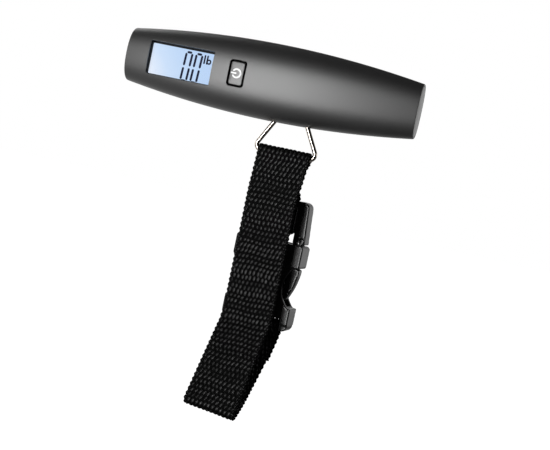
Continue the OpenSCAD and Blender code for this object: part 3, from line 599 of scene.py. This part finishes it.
def ring_slot():
    side = WIRE_R + SLOT_SIDE
    return box((RING_X - SLOT_HALF, -side, -BEYOND), (RING_X + SLOT_HALF, side, UNDER_Z + SLOT_RISE))


def dress_shell(shell, node):
    barrel_shading(shell)
    stand_in(shell, handle_plastic, "handle", "housing", node)
    paint_shade_inside(shell)


def paint_shade_inside(obj):
    """Painted shade: matte black on every face that lies inside the barrel, such as the walls of a hole,
    where shade falls.
    """
    end_band, inner_level = 0.6, 0.9
    obj.data.materials.append(shade_and_border_black)
    faces = obj.data.polygons
    centres = np.array([p.center for p in faces]) / MM + 1e-9
    ends = np.abs(centres[:, 0]) > HALF_LEN - end_band
    # Faces inside the barrel, away from the ends, take the painted shade
    inside = (barrel_normals(centres)[1] < inner_level) & ~ends
    faces.foreach_set("material_index", inside.astype(np.int32))


def gloss_reveal(obj):
    """Glossy walls above and below the display, between the barrel and the clear sheet."""
    obj.data.materials.append(reveal_plastic)
    reveal = len(obj.data.materials) - 1
    margin, level = 0.1, 0.9
    for face in obj.data.polygons:
        x, y, z = face.center / MM
        beside = abs(x - WINDOW_X) < WINDOW_W / 2 + margin and abs(z) < WINDOW_H / 2 + margin
        if beside and y < WINDOW_FLOOR and abs(face.normal.z) > level:
            face.material_index = reveal


def end_cap(side, node):
    inner, outer = side * (HALF_LEN - CAP_T), side * HALF_LEN
    cap = new_object(node + "_face", barrel_slice(inner, outer, RIM + CAP_GAP, CAP_EDGE))
    smooth_faces(cap)
    stand_in(cap, cap_plastic, "handle", "cap", node)


# Flat strokes and outlines that lie on a surface y(x, z)
def plate(outline, surface, lift, sink):
    outline = np.asarray(outline, float)
    y = surface(outline[:, 0], outline[:, 1])
    return loft([np.stack([outline[:, 0], y + d, outline[:, 1]], -1) for d in (sink, -lift)])


def stroke(points, width, surface, lift, sink):
    """Round-ended line of even width through points on the surface."""
    points = np.asarray(points, float)
    way = np.gradient(points, axis=0)
    way /= np.linalg.norm(way, axis=1)[:, None]
    side = np.stack([-way[:, 1], way[:, 0]], -1) * width / 2
    turn = np.radians(np.linspace(90, -90, 9))[1:-1, None]
    tip = points[-1] + way[-1] * width / 2 * np.cos(turn) + side[-1] * np.sin(turn)
    tail = points[0] - way[0] * width / 2 * np.cos(turn) - side[0] * np.sin(turn)
    return plate(np.concatenate([points + side, tip, (points - side)[::-1], tail]), surface, lift, sink)


def button_face(flange):
    """Rounded key whose face follows the barrel, from inside the flange outwards."""
    w, h, r = BUTTON_W - 2 * BUTTON_GAP, BUTTON_H - 2 * BUTTON_GAP, BUTTON_CORNER
    rings = [on_y(rounded(w, h, r), BUTTON_X, 0, flange + FLANGE_SINK)]
    for t in np.radians(np.linspace(0, 90, 6)):
        off, depth = BUTTON_EDGE * (1 - math.cos(t)), BUTTON_EDGE * (1 - math.sin(t))
        ring = on_y(rounded(w - 2 * off, h - 2 * off, r - off), BUTTON_X, 0, 0)
        ring[:, 1] = front_y(ring[:, 0], ring[:, 2]) + depth
        rings.append(ring)
    outer, centre = rings[-1], [BUTTON_X, 0, 0]
    for share in np.linspace(0.9, 0.02, 10):
        ring = (outer - centre) * [share, 1, share] + centre
        ring[:, 1] = front_y(ring[:, 0], ring[:, 2])
        rings.append(ring)
    return loft(rings)


def power_button():
    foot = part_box("power_button")[1].y / MM
    flange = front_y(BUTTON_X, BUTTON_H / 2 + FLANGE_LAP) + WALL + FLANGE_GAP
    outline = rounded(BUTTON_W + 2 * FLANGE_LAP, BUTTON_H + 2 * FLANGE_LAP, FLANGE_CORNER)
    lap = loft([on_y(outline, BUTTON_X, 0, y) for y in (flange, flange + FLANGE_T)])
    stem = rod_y(BUTTON_X, 0, flange + FLANGE_T - FLANGE_SINK, foot, STEM_R)
    button = new_object("power_button_cap", joined([button_face(flange), lap, stem]))
    smooth_faces(button)
    stand_in(button, button_plastic, "button", "button", "power_button")
    # Painted shade on the key's flange and stem, seen through the gap round the key
    paint_shade_inside(button)


# Power symbol: an open circle and a bar, turned with the display
SYMBOL_R, SYMBOL_LINE, SYMBOL_OPEN = 1.82, 0.72, 38.0
SYMBOL_BAR = (-2.3, -0.35)
SYMBOL_LIFT, SYMBOL_SINK = 0.03, 0.1


def power_symbol():
    turn = np.radians(np.linspace(SYMBOL_OPEN - 180, 180 - SYMBOL_OPEN, 48))
    arc = np.stack([BUTTON_X + SYMBOL_R * np.cos(turn), SYMBOL_R * np.sin(turn)], -1)
    bar = np.stack([BUTTON_X + np.linspace(*SYMBOL_BAR, 8), np.zeros(8)], -1)
    lines = [stroke(line, SYMBOL_LINE, front_y, SYMBOL_LIFT, SYMBOL_SINK) for line in (arc, bar)]
    symbol = new_object("power_symbol", joined(lines))
    smooth_faces(symbol)
    stand_in(symbol, symbol_white, "button", "button")


# Display with its visible area
VIEW_W, VIEW_H, VIEW_Z, VIEW_CORNER = 31.0, 13.8, -0.25, 0.3
BORDER_BACK, BORDER_FRONT = 0.06, 0.1
DIGITS_X = (-38.85, -34.1)
DIGIT_HALF, DIGIT_TOP, DIGIT_MID, DIGIT_LOW = 1.38, 5.45, -1.1, -7.4
DIGIT_LINE, DIGIT_LEAN, DIGIT_SPLIT, DIGIT_TUCK = 1.02, 0.043, 0.3, 0.12
LETTERS_X, LETTER_TOP, LETTER_LOW, LETTER_LEAN = (-31.1, -29.85), 5.3, 1.95, 0.05
BOWL_X, BOWL_Z, BOWL_HALF_W, BOWL_HALF_H = -29.0, 2.85, 0.8, 0.88
LETTER_LINE, BOWL_LINE = 0.74, 0.66
INK_LIFT = 0.05


def ring_of(rings):
    """Skin around four outlines, back to the first."""
    points, faces = loft(list(rings) + [rings[0]])
    m = len(rings[0])
    faces = [[i % (4 * m) for i in face] for face in faces[:-2]]
    return points[:4 * m], faces


def lcd_face(x, z):
    return np.full_like(np.asarray(x, float), LCD_FRONT)


def segment(x0, z0, x1, z1, width):
    """Bar of a digit with pointed ends."""
    a, b = np.array([x0, z0]), np.array([x1, z1])
    way = (b - a) / np.linalg.norm(b - a) * width / 2
    side = np.array([-way[1], way[0]])
    outline = [a, a + way + side, b - way + side, b, b - way - side, a + way - side]
    return plate(outline, lcd_face, INK_LIFT, 0.0)


def digit_zero(x):
    """Four upright bars and two level ones, leaning to the right."""
    uprights = [(DIGIT_MID + DIGIT_SPLIT, DIGIT_TOP - DIGIT_SPLIT)]
    uprights += [(DIGIT_LOW + DIGIT_SPLIT, DIGIT_MID - DIGIT_SPLIT)]
    bars = []
    for side in (x - DIGIT_HALF, x + DIGIT_HALF):
        for z0, z1 in uprights:
            bars.append(segment(side + DIGIT_LEAN * z0, z0, side + DIGIT_LEAN * z1, z1, DIGIT_LINE))
    reach = DIGIT_HALF - DIGIT_TUCK
    for z in (DIGIT_TOP, DIGIT_LOW):
        middle = x + DIGIT_LEAN * z
        bars.append(segment(middle - reach, z, middle + reach, z, DIGIT_LINE))
    return bars


def unit_letters():
    """An l, and a b from an upright and a bowl."""
    turn = np.radians(np.linspace(180, -180, 40))
    bowl = np.stack([BOWL_X + BOWL_HALF_W * np.cos(turn), BOWL_Z + BOWL_HALF_H * np.sin(turn)], -1)
    letters = []
    for x in LETTERS_X:
        line = np.linspace((x, LETTER_TOP), (x - LETTER_LEAN, LETTER_LOW), 6)
        letters.append(stroke(line, LETTER_LINE, lcd_face, INK_LIFT, 0.0))
    return letters + [stroke(bowl[2:-2], BOWL_LINE, lcd_face, INK_LIFT, 0.0)]


def display():
    zeros = [bar for x in DIGITS_X for bar in digit_zero(x)]
    digits = new_object("lcd_digits", joined(zeros + unit_letters()))
    stand_in(digits, lcd_ink, "handle", "lcd")
    outer = rounded(LENS_W, LENS_H, LENS_CORNER) + [WINDOW_X, 0]
    inner = rounded(VIEW_W, VIEW_H, VIEW_CORNER) + [WINDOW_X, VIEW_Z]
    stops = [(outer, BORDER_BACK), (inner, BORDER_BACK), (inner, BORDER_FRONT), (outer, BORDER_FRONT)]
    border = new_object("display_border", ring_of([on_y(edge, 0, 0, LCD_FRONT - y) for edge, y in stops]))
    stand_in(border, shade_and_border_black, "handle", "lcd")
    stops = [(LCD_FRONT - LENS_GAP, 0.0), (WINDOW_FLOOR + LENS_EDGE, 0.0), (WINDOW_FLOOR, LENS_EDGE)]
    rings = []
    for y, off in stops:
        rings.append(on_y(rounded(LENS_W - 2 * off, LENS_H - 2 * off, LENS_CORNER), WINDOW_X, 0, y))
    lens = new_object("display_lens", loft(rings))
    smooth_faces(lens)
    stand_in(lens, clear_acrylic, "handle", "window", "display_window")


# Wire ring
LEG_LEAN = math.radians(28.7)
CORNER_R, APEX_R = 2.4, 3.2
RING_HALF = STRAP_W / 2 + 0.3 + WIRE_R
PIN_Z = -9.4166
LEG_STEPS, BAR_STEPS = 24, 40


def turn_points(cx, cz, r, start, stop, count):
    t = np.linspace(start, stop, count)
    return np.stack([cx + r * np.cos(t), cz + r * np.sin(t)], -1)


def tube(path, r, sides, closed=False):
    path = np.asarray(path, float)
    if closed:
        way = np.roll(path, -1, 0) - np.roll(path, 1, 0)
    else:
        way = np.gradient(path, axis=0)
    way /= np.linalg.norm(way, axis=1)[:, None]
    u = np.cross(way, [0.05, 1, 0.03])
    u /= np.linalg.norm(u, axis=1)[:, None]
    v = np.cross(way, u)
    t = np.linspace(0, 2 * math.pi, sides, endpoint=False)
    rings = path[:, None] + r * (u[:, None] * np.cos(t)[:, None] + v[:, None] * np.sin(t)[:, None])
    points, faces = loft(rings)
    if closed:
        n, m = len(path), sides
        bridge = [[(n - 1) * m + j, (n - 1) * m + (j + 1) % m, (j + 1) % m, j] for j in range(m)]
        faces = faces[:-2] + bridge
    return points, faces


def strap_ring():
    half_pi, corner = math.pi / 2, RING_HALF - CORNER_R
    foot = BAR_Z + CORNER_R
    outline = [turn_points(-corner, foot, CORNER_R, 3 * half_pi, math.pi - LEG_LEAN, 20)]
    outline.append(turn_points(0, PIN_Z, APEX_R, math.pi - LEG_LEAN, LEG_LEAN, 30))
    outline.append(turn_points(corner, foot, CORNER_R, LEG_LEAN, -half_pi, 20))
    flat = np.concatenate(outline)
    bar_x = np.linspace(corner, -corner, BAR_STEPS)[1:-1]
    bar = np.stack([bar_x, np.full_like(bar_x, BAR_Z)], -1)
    legs = []
    for a, b in zip(flat, np.roll(flat, -1, 0)):
        is_leg = np.linalg.norm(b - a) >= CORNER_R and abs(a[1] - b[1]) >= WIRE_R
        steps = LEG_STEPS if is_leg else 1
        legs += [a + (b - a) * k / steps for k in range(steps)]
    flat = np.concatenate([legs, bar])
    path = np.stack([flat[:, 0] + RING_X, np.zeros(len(flat)), flat[:, 1]], -1)
    ring = new_object("wire_ring", tube(path, WIRE_R, 32, closed=True))
    smooth_faces(ring, 60)
    stand_in(ring, nickel, "ring", "ring", "strap_ring")


# Webbing: each point of a path is x, y, z, turn about Z and drop of the right edge, in degrees
WRAP_R = WIRE_R + 0.55 + STRAP_T / 2
PLUG_WRAP = PLUG_BAR_R + 0.15 + STRAP_T / 2
SOCKET_WRAP = SOCKET_BAR_R + 0.45 + STRAP_T / 2
FOLD_R = 1.9
FOLD_C = np.array([RING_X - 5.3, FOLD_R - 20, BAR_Z - STRAP_DROP + FOLD_R + STRAP_T / 2])


def point(x, y, z, yaw=0.0, drop=0.0):
    return np.array([x, y, z, yaw, drop], float)


def polar(r, degrees):
    return r * math.cos(math.radians(degrees)), r * math.sin(math.radians(degrees))


def on_bar(t):
    y, z = polar(WRAP_R, t)
    return point(RING_X, y, BAR_Z + z)


def on_fold(t):
    y, z = polar(FOLD_R, t)
    return point(FOLD_C[0], FOLD_C[1] + y, FOLD_C[2] + z, 3, 5)


def in_buckle(y, z):
    s, c = math.sin(math.radians(STRAP_YAW)), math.cos(math.radians(STRAP_YAW))
    return point(BUCKLE_O[0] + y * s, BUCKLE_O[1] + y * c, BUCKLE_O[2] + z, STRAP_YAW)


def on_socket(t):
    y, z = polar(SOCKET_WRAP, t)
    return in_buckle(y, SOCKET_BAR_Z + z)


def hung(y, depth):
    return in_buckle(y, SOCKET_BAR_Z - depth) - point(0.2 * max(0, depth - 5), 0, 0)


def on_plug(t):
    y, z = polar(PLUG_WRAP, t)
    return in_buckle(y, PLUG_BAR_Z + z)


def mix(p, q, t):
    return p * (1 - t) + q * t


SEAM_TOP = point(RING_X, WRAP_R + 0.02, BAR_Z - 1.6)
SEAM_LOW = point(RING_X + 0.2, WRAP_R + 0.3, BAR_Z - 8, 3)
SEAM_END = SEAM_LOW + point(-1.7, 0, 0, 0, -9)
LAP = point(-1.4, STRAP_T + 0.15, 0)
TAB_BEND = point(0.1, 0.75, -2.2, 0.5)


def long_path():
    front_top = point(RING_X - 0.1, -WRAP_R - 0.05, BAR_Z - 3, 1)
    front_mid = point(RING_X - 1.1, -2.9, BAR_Z - 20, STRAP_YAW)
    front_low = point(RING_X - 0.9, -2.9, BAR_Z - 70, STRAP_YAW, -2)
    kink = point(RING_X - 1.1, -4.1, BAR_Z - 77, STRAP_YAW - 1, -3)
    front_foot = on_fold(155)
    rear_bend = point(RING_X - 4, 3.6, FOLD_C[2] + 10.4, 6, 3)
    rear_foot = on_fold(-62)
    path = [hung(0.75, 17), hung(0.7, 12)]
    path += [hung(0.95, 7), hung(1.9, 3)]
    path += [on_socket(t) for t in range(0, 181, 30)]
    path += [hung(-1.75, 3), hung(-0.8, 7)]
    path += [hung(-1.3, 14), rear_bend]
    path.append(mix(rear_bend, rear_foot, 0.5) + point(0, -0.2, -1.2))
    path.append(mix(rear_bend, rear_foot, 0.85) + point(0, -0.1, -0.6))
    path += [on_fold(t) for t in range(-62, -187, -31)] + [front_foot]
    path += [mix(front_foot, kink, t) for t in (0.08, 0.4, 0.75, 0.93)] + [kink, front_low]
    path += [mix(front_low, front_mid, 0.15), mix(front_low, front_mid, 0.5), front_mid]
    path += [mix(front_mid, front_top, 0.5), front_top]
    path += [on_bar(t) for t in range(180, -1, -30)]
    return path + [SEAM_TOP, mix(SEAM_TOP, SEAM_END, 0.5), SEAM_END]


def short_path():
    bend, inlet = SEAM_LOW + LAP + TAB_BEND, in_buckle(0.35, PLUG_H + 1.5)
    path = [mix(SEAM_TOP, SEAM_LOW, t) + LAP for t in (0.1, 0.5, 0.85)]
    path += [SEAM_LOW + LAP + point(0, 0.12, 0), bend, mix(bend, inlet, 0.5), inlet]
    path += [in_buckle(-0.2, PLUG_H - 1.5), in_buckle(-0.85, PLUG_H - 6)]
    path += [in_buckle(-1.7, PLUG_BAR_Z + 4), in_buckle(-2.05, PLUG_BAR_Z + 1.5)]
    path += [on_plug(t) for t in range(180, 361, 30)]
    path += [in_buckle(2.1, PLUG_BAR_Z + 1.5), in_buckle(1.9, PLUG_BAR_Z + 4)]
    return path + [in_buckle(1.4, PLUG_BAR_Z + 9.4)]


def smooth_line(path, step):
    """Even steps along a smooth curve through the points of a path."""
    c = np.asarray(path)
    p = np.concatenate([c[:1], c, c[-1:]])
    t = np.linspace(0, 1, 24, endpoint=False)[:, None]
    parts = []
    for a, b, d, e in zip(p, p[1:], p[2:], p[3:]):
        parts.append(0.5 * (2 * b + (d - a) * t + (2 * a - 5 * b + 4 * d - e) * t**2
                            + (3 * b - a - 3 * d + e) * t**3))
    line = np.concatenate(parts + [c[-1:]])
    run = np.concatenate([[0], np.cumsum(np.linalg.norm(np.diff(line[:, :3], axis=0), axis=1))])
    stops = np.linspace(0, run[-1], int(run[-1] / step) + 1)
    return np.stack([np.interp(stops, run, line[:, k]) for k in range(5)], -1), stops


def webbing_axes(line):
    yaw, drop = np.radians(line[:, 3]), np.radians(line[:, 4])
    across = np.stack([np.cos(yaw) * np.cos(drop), -np.sin(yaw) * np.cos(drop), -np.sin(drop)], -1)
    way = np.gradient(line[:, :3], axis=0)
    way /= np.linalg.norm(way, axis=1)[:, None]
    outward = np.cross(way, across)
    outward /= np.linalg.norm(outward, axis=1)[:, None]
    return across, outward


# Weave: rows of slanted grains, each row shifted by half a grain, and finer loops along the edges
COLUMN, ROW = 1.95, 2.32
GRAIN_HALF_W, GRAIN_HALF_L, GRAIN_H = 0.84, 1.28, 0.5
GRAIN_SLANT = math.tan(YARN_TURN)
SLANT_LOW, SLANT_SPREAD = 0.2, 1.6
LENGTH_LOW, LENGTH_SPREAD = 0.78, 0.34
RISE_LOW, RISE_BY_ROW, RISE_BY_GRAIN = 0.5, 0.3, 0.2
ROW_SHIFT, COLUMN_SHIFT = 0.2, 0.16
ROW_LIFT, LIFT_ACROSS, LIFT_ALONG = 0.22, 17.0, 31.0
SELVAGE, SELVAGE_SIZE, SELVAGE_H = 1.5, 0.5, 0.95
CORE = 0.4
EDGE_ROUND, SCALLOP = 0.7, 0.22
STEP_ALONG, STEP_ACROSS = 0.3, 0.26


def scatter(row, column):
    """Even spread of values from 0 to 1, fixed for each row and column."""
    return np.sin(row * 12.9898 + column * 78.233) * 43758.5453 % 1


def grains(u, v, size):
    """Height of the nearest grain at u across and v along the webbing, from 0 to 1."""
    best = np.zeros_like(u)
    base = np.floor(v / (ROW * size))
    for k in (-1, 0, 1, 2):
        row = base + k
        dv = v - row * ROW * size
        slant = GRAIN_SLANT * (SLANT_LOW + SLANT_SPREAD * scatter(row, 5))
        column = (u - slant * dv) / (COLUMN * size) - 0.5 * (row % 2) - ROW_SHIFT * scatter(row, 7)
        uneven = scatter(row, np.floor(column + 0.5))
        du = (column + 0.5) % 1 - 0.5 + COLUMN_SHIFT * (uneven - 0.5)
        length = GRAIN_HALF_L * size * (LENGTH_LOW + LENGTH_SPREAD * scatter(row, 11))
        level = 1 - (du * COLUMN / GRAIN_HALF_W) ** 2 - (dv / length) ** 2
        rise = RISE_LOW + RISE_BY_ROW * scatter(row, 3) + RISE_BY_GRAIN * uneven
        best = np.maximum(best, np.sqrt(np.clip(level, 0, 1)) * rise)
    return best


def weave(u, v, half):
    """Height of the weave, with rows that rise and fall a little and finer loops along the edges."""
    lift = ROW_LIFT * np.sin(2 * math.pi * (u / LIFT_ACROSS + v / LIFT_ALONG))
    inner = grains(u, v + lift, 1.0)
    return np.where(np.abs(u) > half - SELVAGE, SELVAGE_H * grains(u, v, SELVAGE_SIZE), inner)


def webbing(name, path, width):
    """Woven strap along a path, and its flat size."""
    line, run = smooth_line(path, STEP_ALONG)
    across, outward = webbing_axes(line)
    half = width / 2
    share = np.linspace(-1, 1, int(width / STEP_ACROSS))
    edge = EDGE_ROUND / half
    taper = np.sqrt(np.clip(1 - (np.clip(np.abs(share) - 1 + edge, 0, 1) / edge) ** 2, 0, 1))
    v = run[:, None]
    scallop = SCALLOP * np.cos(2 * math.pi * v / ROW) * np.sign(share) * np.abs(share) ** 10
    u = share * half + scallop
    grain = weave(u, v + 0 * u, half)
    height = (CORE + GRAIN_H * grain) * taper
    centre, w, o = line[:, None, :3], across[:, None], outward[:, None]
    face = centre + w * u[..., None] + o * height[..., None]
    back = (centre + w * u[..., None] - o * height[..., None])[:, -2:0:-1]
    strap = new_object(name, loft(np.concatenate([face, back], axis=1)))
    grain_all = np.concatenate([grain * taper, (grain * taper)[:, -2:0:-1]], axis=1).ravel()
    place = np.stack([u, v + 0 * u], -1)
    place = np.concatenate([place, place[:, -2:0:-1]], axis=1).reshape(-1, 2)
    mesh = strap.data
    grain_layer = mesh.attributes.new("grain", "FLOAT", "POINT")
    grain_layer.data.foreach_set("value", grain_all.astype(np.float32))
    loops = np.empty(len(mesh.loops), int)
    mesh.loops.foreach_get("vertex_index", loops)
    mesh.uv_layers.new(name="weave").data.foreach_set("uv", place[loops].astype(np.float32).ravel())
    smooth_faces(strap, 70)
    return strap, (width * MM, run[-1] * MM)


# Stitches: thread radius, half length as a share of the pitch, and rise above the webbing
THREAD_R, STITCH_HALF, STITCH_RISE, STITCH_DIP = 0.3, 0.36, 0.12, 0.5
STITCHES_A_SIDE, SEAM_SHARE = 6, 0.42
SEAM_ROWS, HEM_ROWS = (1.2, 4.6), (3.0, 7.0)


def stitches(name, path, width, rows, side):
    """Rows of thread stitches that dip into the webbing at both ends."""
    line = smooth_line(path, STEP_ALONG)[0]
    across, outward = webbing_axes(line)
    pitch = width * SEAM_SHARE / STITCHES_A_SIDE
    t = np.linspace(-1, 1, 9)[:, None]
    lift = CORE + GRAIN_H + STITCH_RISE - STITCH_DIP * t**4
    made = []
    for place in rows:
        i = int(place / STEP_ALONG)
        w, o = across[i], outward[i] * side
        for k in range(-STITCHES_A_SIDE, STITCHES_A_SIDE + 1):
            made.append(tube(line[i, :3] + w * (k + STITCH_HALF * t) * pitch + o * lift, THREAD_R, 10))
    thread = new_object(name, joined(made))
    smooth_faces(thread, 60)
    return thread


def strap():
    long_piece, long_flat = webbing("long_webbing", long_path(), STRAP_W)
    stand_in(long_piece, black_webbing, "strap", "webbing", "strap_long")
    tab, tab_flat = webbing("tab_webbing", short_path(), TAB_W)
    paint(tab, black_webbing)
    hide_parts("strap_short")
    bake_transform(tab)
    seam = stitches("seam_thread", short_path(), TAB_W, SEAM_ROWS, -1)
    stand_in(seam, thread_black, "strap", "thread", "seam_stitching")
    hem = stitches("socket_thread", long_path(), STRAP_W, HEM_ROWS, 1)
    stand_in(hem, thread_black, "strap", "thread", "socket_stitching")


# Moulded buckle and other carried-over pieces
BUCKLE_VOXEL, BUCKLE_PASSES = 0.25, 24
COVER_VOXEL, COVER_PASSES = 0.2, 5


def moulded(node, material, voxel, passes):
    """Softens the edges of a moulded piece."""
    obj = nodes[node]
    shape = obj.modifiers.new("moulded_form", "REMESH")
    shape.mode = "VOXEL"
    shape.voxel_size = voxel * MM
    shape.use_smooth_shade = True
    soft = obj.modifiers.new("soft_edges", "SMOOTH")
    soft.factor = 0.5
    soft.iterations = passes
    paint(obj, material)


FINISHES = {
    "lcd_panel": lcd_backlit, "lcd_backlight": white_acrylic, "lcd_frame": inner_plastic,
    "lcd_strip": zebra_strip, "main_board": circuit_board, "controller_chip": epoxy,
    "tact_switch": inner_plastic, "switch_plunger": cable_sheath, "coin_cell": cell_steel,
    "contact_negative": brass, "contact_positive": brass, "load_cell": aluminium,
    "strain_gauges": gauge_foil, "load_cell_bolts": steel, "stirrup": steel, "stirrup_bolt": steel,
    "stirrup_pin": steel, "gauge_cable": cable_sheath, "case_screws": steel, "board_screws": steel,
}


def carried_over():
    for node, material in FINISHES.items():
        paint(nodes[node], material)
    for node in ("buckle_socket", "plug_frame", "plug_arm_left", "plug_arm_right"):
        moulded(node, buckle_plastic, BUCKLE_VOXEL, BUCKLE_PASSES)
    moulded("battery_cover", handle_plastic, COVER_VOXEL, COVER_PASSES)


# Camera in front, to the right and a little tilted
EYE = (116.8, -480.9, -26.9)
EYE_RIGHT, EYE_BACK = (0.9535, 0.2175, 0.2085), (0.207, -0.9757, 0.0713)


def camera():
    data = bpy.data.cameras.new("camera")
    data.sensor_width = 36.0
    data.lens = 72.0
    data.clip_start, data.clip_end = 0.01, 50.0
    obj = bpy.data.objects.new("camera", data)
    scene.collection.objects.link(obj)
    right = Vector(EYE_RIGHT).normalized()
    back = Vector(EYE_BACK).normalized()
    up = back.cross(right).normalized()
    turn = Matrix((right, up, back)).transposed().to_4x4()
    obj.matrix_world = Matrix.Translation(Vector(EYE) * MM) @ turn
    scene.camera = obj


# Studio: a soft strip in front, a white sweep below and behind, dark above, in metres
FLOOR_Z, FLOOR_SIZE = -0.42, 12
AIM = (0, 0, -0.05)
STRIP_PLACE, STRIP_AIM = (-0.145, -0.546, -0.03), (-0.005, -0.013, 0)


def lamp(name, place, aim, size, power):
    data = bpy.data.lights.new(name, "AREA")
    data.shape = "RECTANGLE"
    data.size, data.size_y = size
    data.energy = power
    obj = bpy.data.objects.new(name, data)
    scene.collection.objects.link(obj)
    obj.location = place
    obj.visible_camera = False
    obj.rotation_mode = "QUATERNION"
    obj.rotation_quaternion = (Vector(aim) - Vector(place)).to_track_quat("-Z", "Y")


def from_angles(azimuth, elevation, distance):
    a, e = math.radians(azimuth), math.radians(elevation)
    return Vector((math.sin(a) * math.cos(e), -math.cos(a) * math.cos(e), math.sin(e))) * distance


def studio():
    lamp("front_strip", STRIP_PLACE, STRIP_AIM, (0.125, 0.62), 3.3)
    lamp("left_fill", from_angles(-75, 15, 1.1), AIM, (0.5, 0.7), 2.0)
    lamp("rear_fill", from_angles(-130, 32, 1.2), AIM, (0.6, 0.6), 3.4)
    surroundings()
    floor()


def surroundings():
    """White to the eye, a white sweep low and behind to mirroring surfaces, and soft grey light."""
    world = bpy.data.worlds.new("studio")
    world.use_nodes = True
    scene.world = world
    tree = world.node_tree
    out = tree.nodes["Background"]
    rays = add(tree, "LightPath").outputs
    split = add(tree, "SeparateXYZ", Vector=add(tree, "TexCoord").outputs["Generated"]).outputs
    low = spread(tree, split["Z"], 1.0, 0.035, 0.2, 0.5)
    rear = spread(tree, split["Y"], 0.1, 1.0, -0.3, 0.15)
    sweep = calc(tree, "MULTIPLY", low, rear)
    mirrored = calc(tree, "MAXIMUM", rays["Is Glossy Ray"], rays["Is Transmission Ray"])
    ambient = add(tree, "MixRGB", Fac=mirrored, Color1=grey(0.24), Color2=sweep).outputs["Color"]
    seen = add(tree, "MixRGB", Fac=rays["Is Camera Ray"], Color1=ambient, Color2=grey(1.0))
    tree.links.new(seen.outputs["Color"], out.inputs["Color"])


def floor():
    """Pale floor that is white to the eye and glows to mirroring surfaces, more at the far left."""
    bpy.ops.mesh.primitive_plane_add(size=FLOOR_SIZE, location=(0, 0, FLOOR_Z))
    plane = bpy.context.object
    plane.name = "studio_floor"
    made, tree, shader = blank("studio_floor")
    place = add(tree, "TexCoord").outputs["Object"]
    mottle = add(tree, "TexNoise", Vector=place, Scale=3.0).outputs["Fac"]
    tone = ramp(tree, mottle, [(0.3, grey(0.42)), (0.7, grey(0.44))])
    shader.inputs["Roughness"].default_value = 0.9
    shader.inputs["Specular IOR Level"].default_value = 0.0
    rays = add(tree, "LightPath").outputs
    shown = add(tree, "MixRGB", Fac=rays["Is Glossy Ray"], Color1=tone, Color2=grey(0.12))
    tree.links.new(shown.outputs["Color"], shader.inputs["Base Color"])
    seen = calc(tree, "MAXIMUM", rays["Is Camera Ray"], rays["Is Transmission Ray"])
    split = add(tree, "SeparateXYZ", Vector=place).outputs
    left = spread(tree, split["X"], 0.72, -0.72, -0.4, 0.4)
    far = spread(tree, calc(tree, "ADD", left, split["Y"]), 0.0, 1.0, 0.05, 1.5)
    glow = calc(tree, "MULTIPLY_ADD", rays["Is Glossy Ray"], far, seen)
    tree.links.new(glow, shader.inputs["Emission Strength"])
    shader.inputs["Emission Color"].default_value = grey(0.95)
    paint(plane, made)


camera()
front_shell()
rear_shell()
end_cap(-1, "end_cap_left")
end_cap(1, "end_cap_right")
power_button()
power_symbol()
display()
strap_ring()
strap()
carried_over()
studio()
scene.view_settings.view_transform = "Standard"
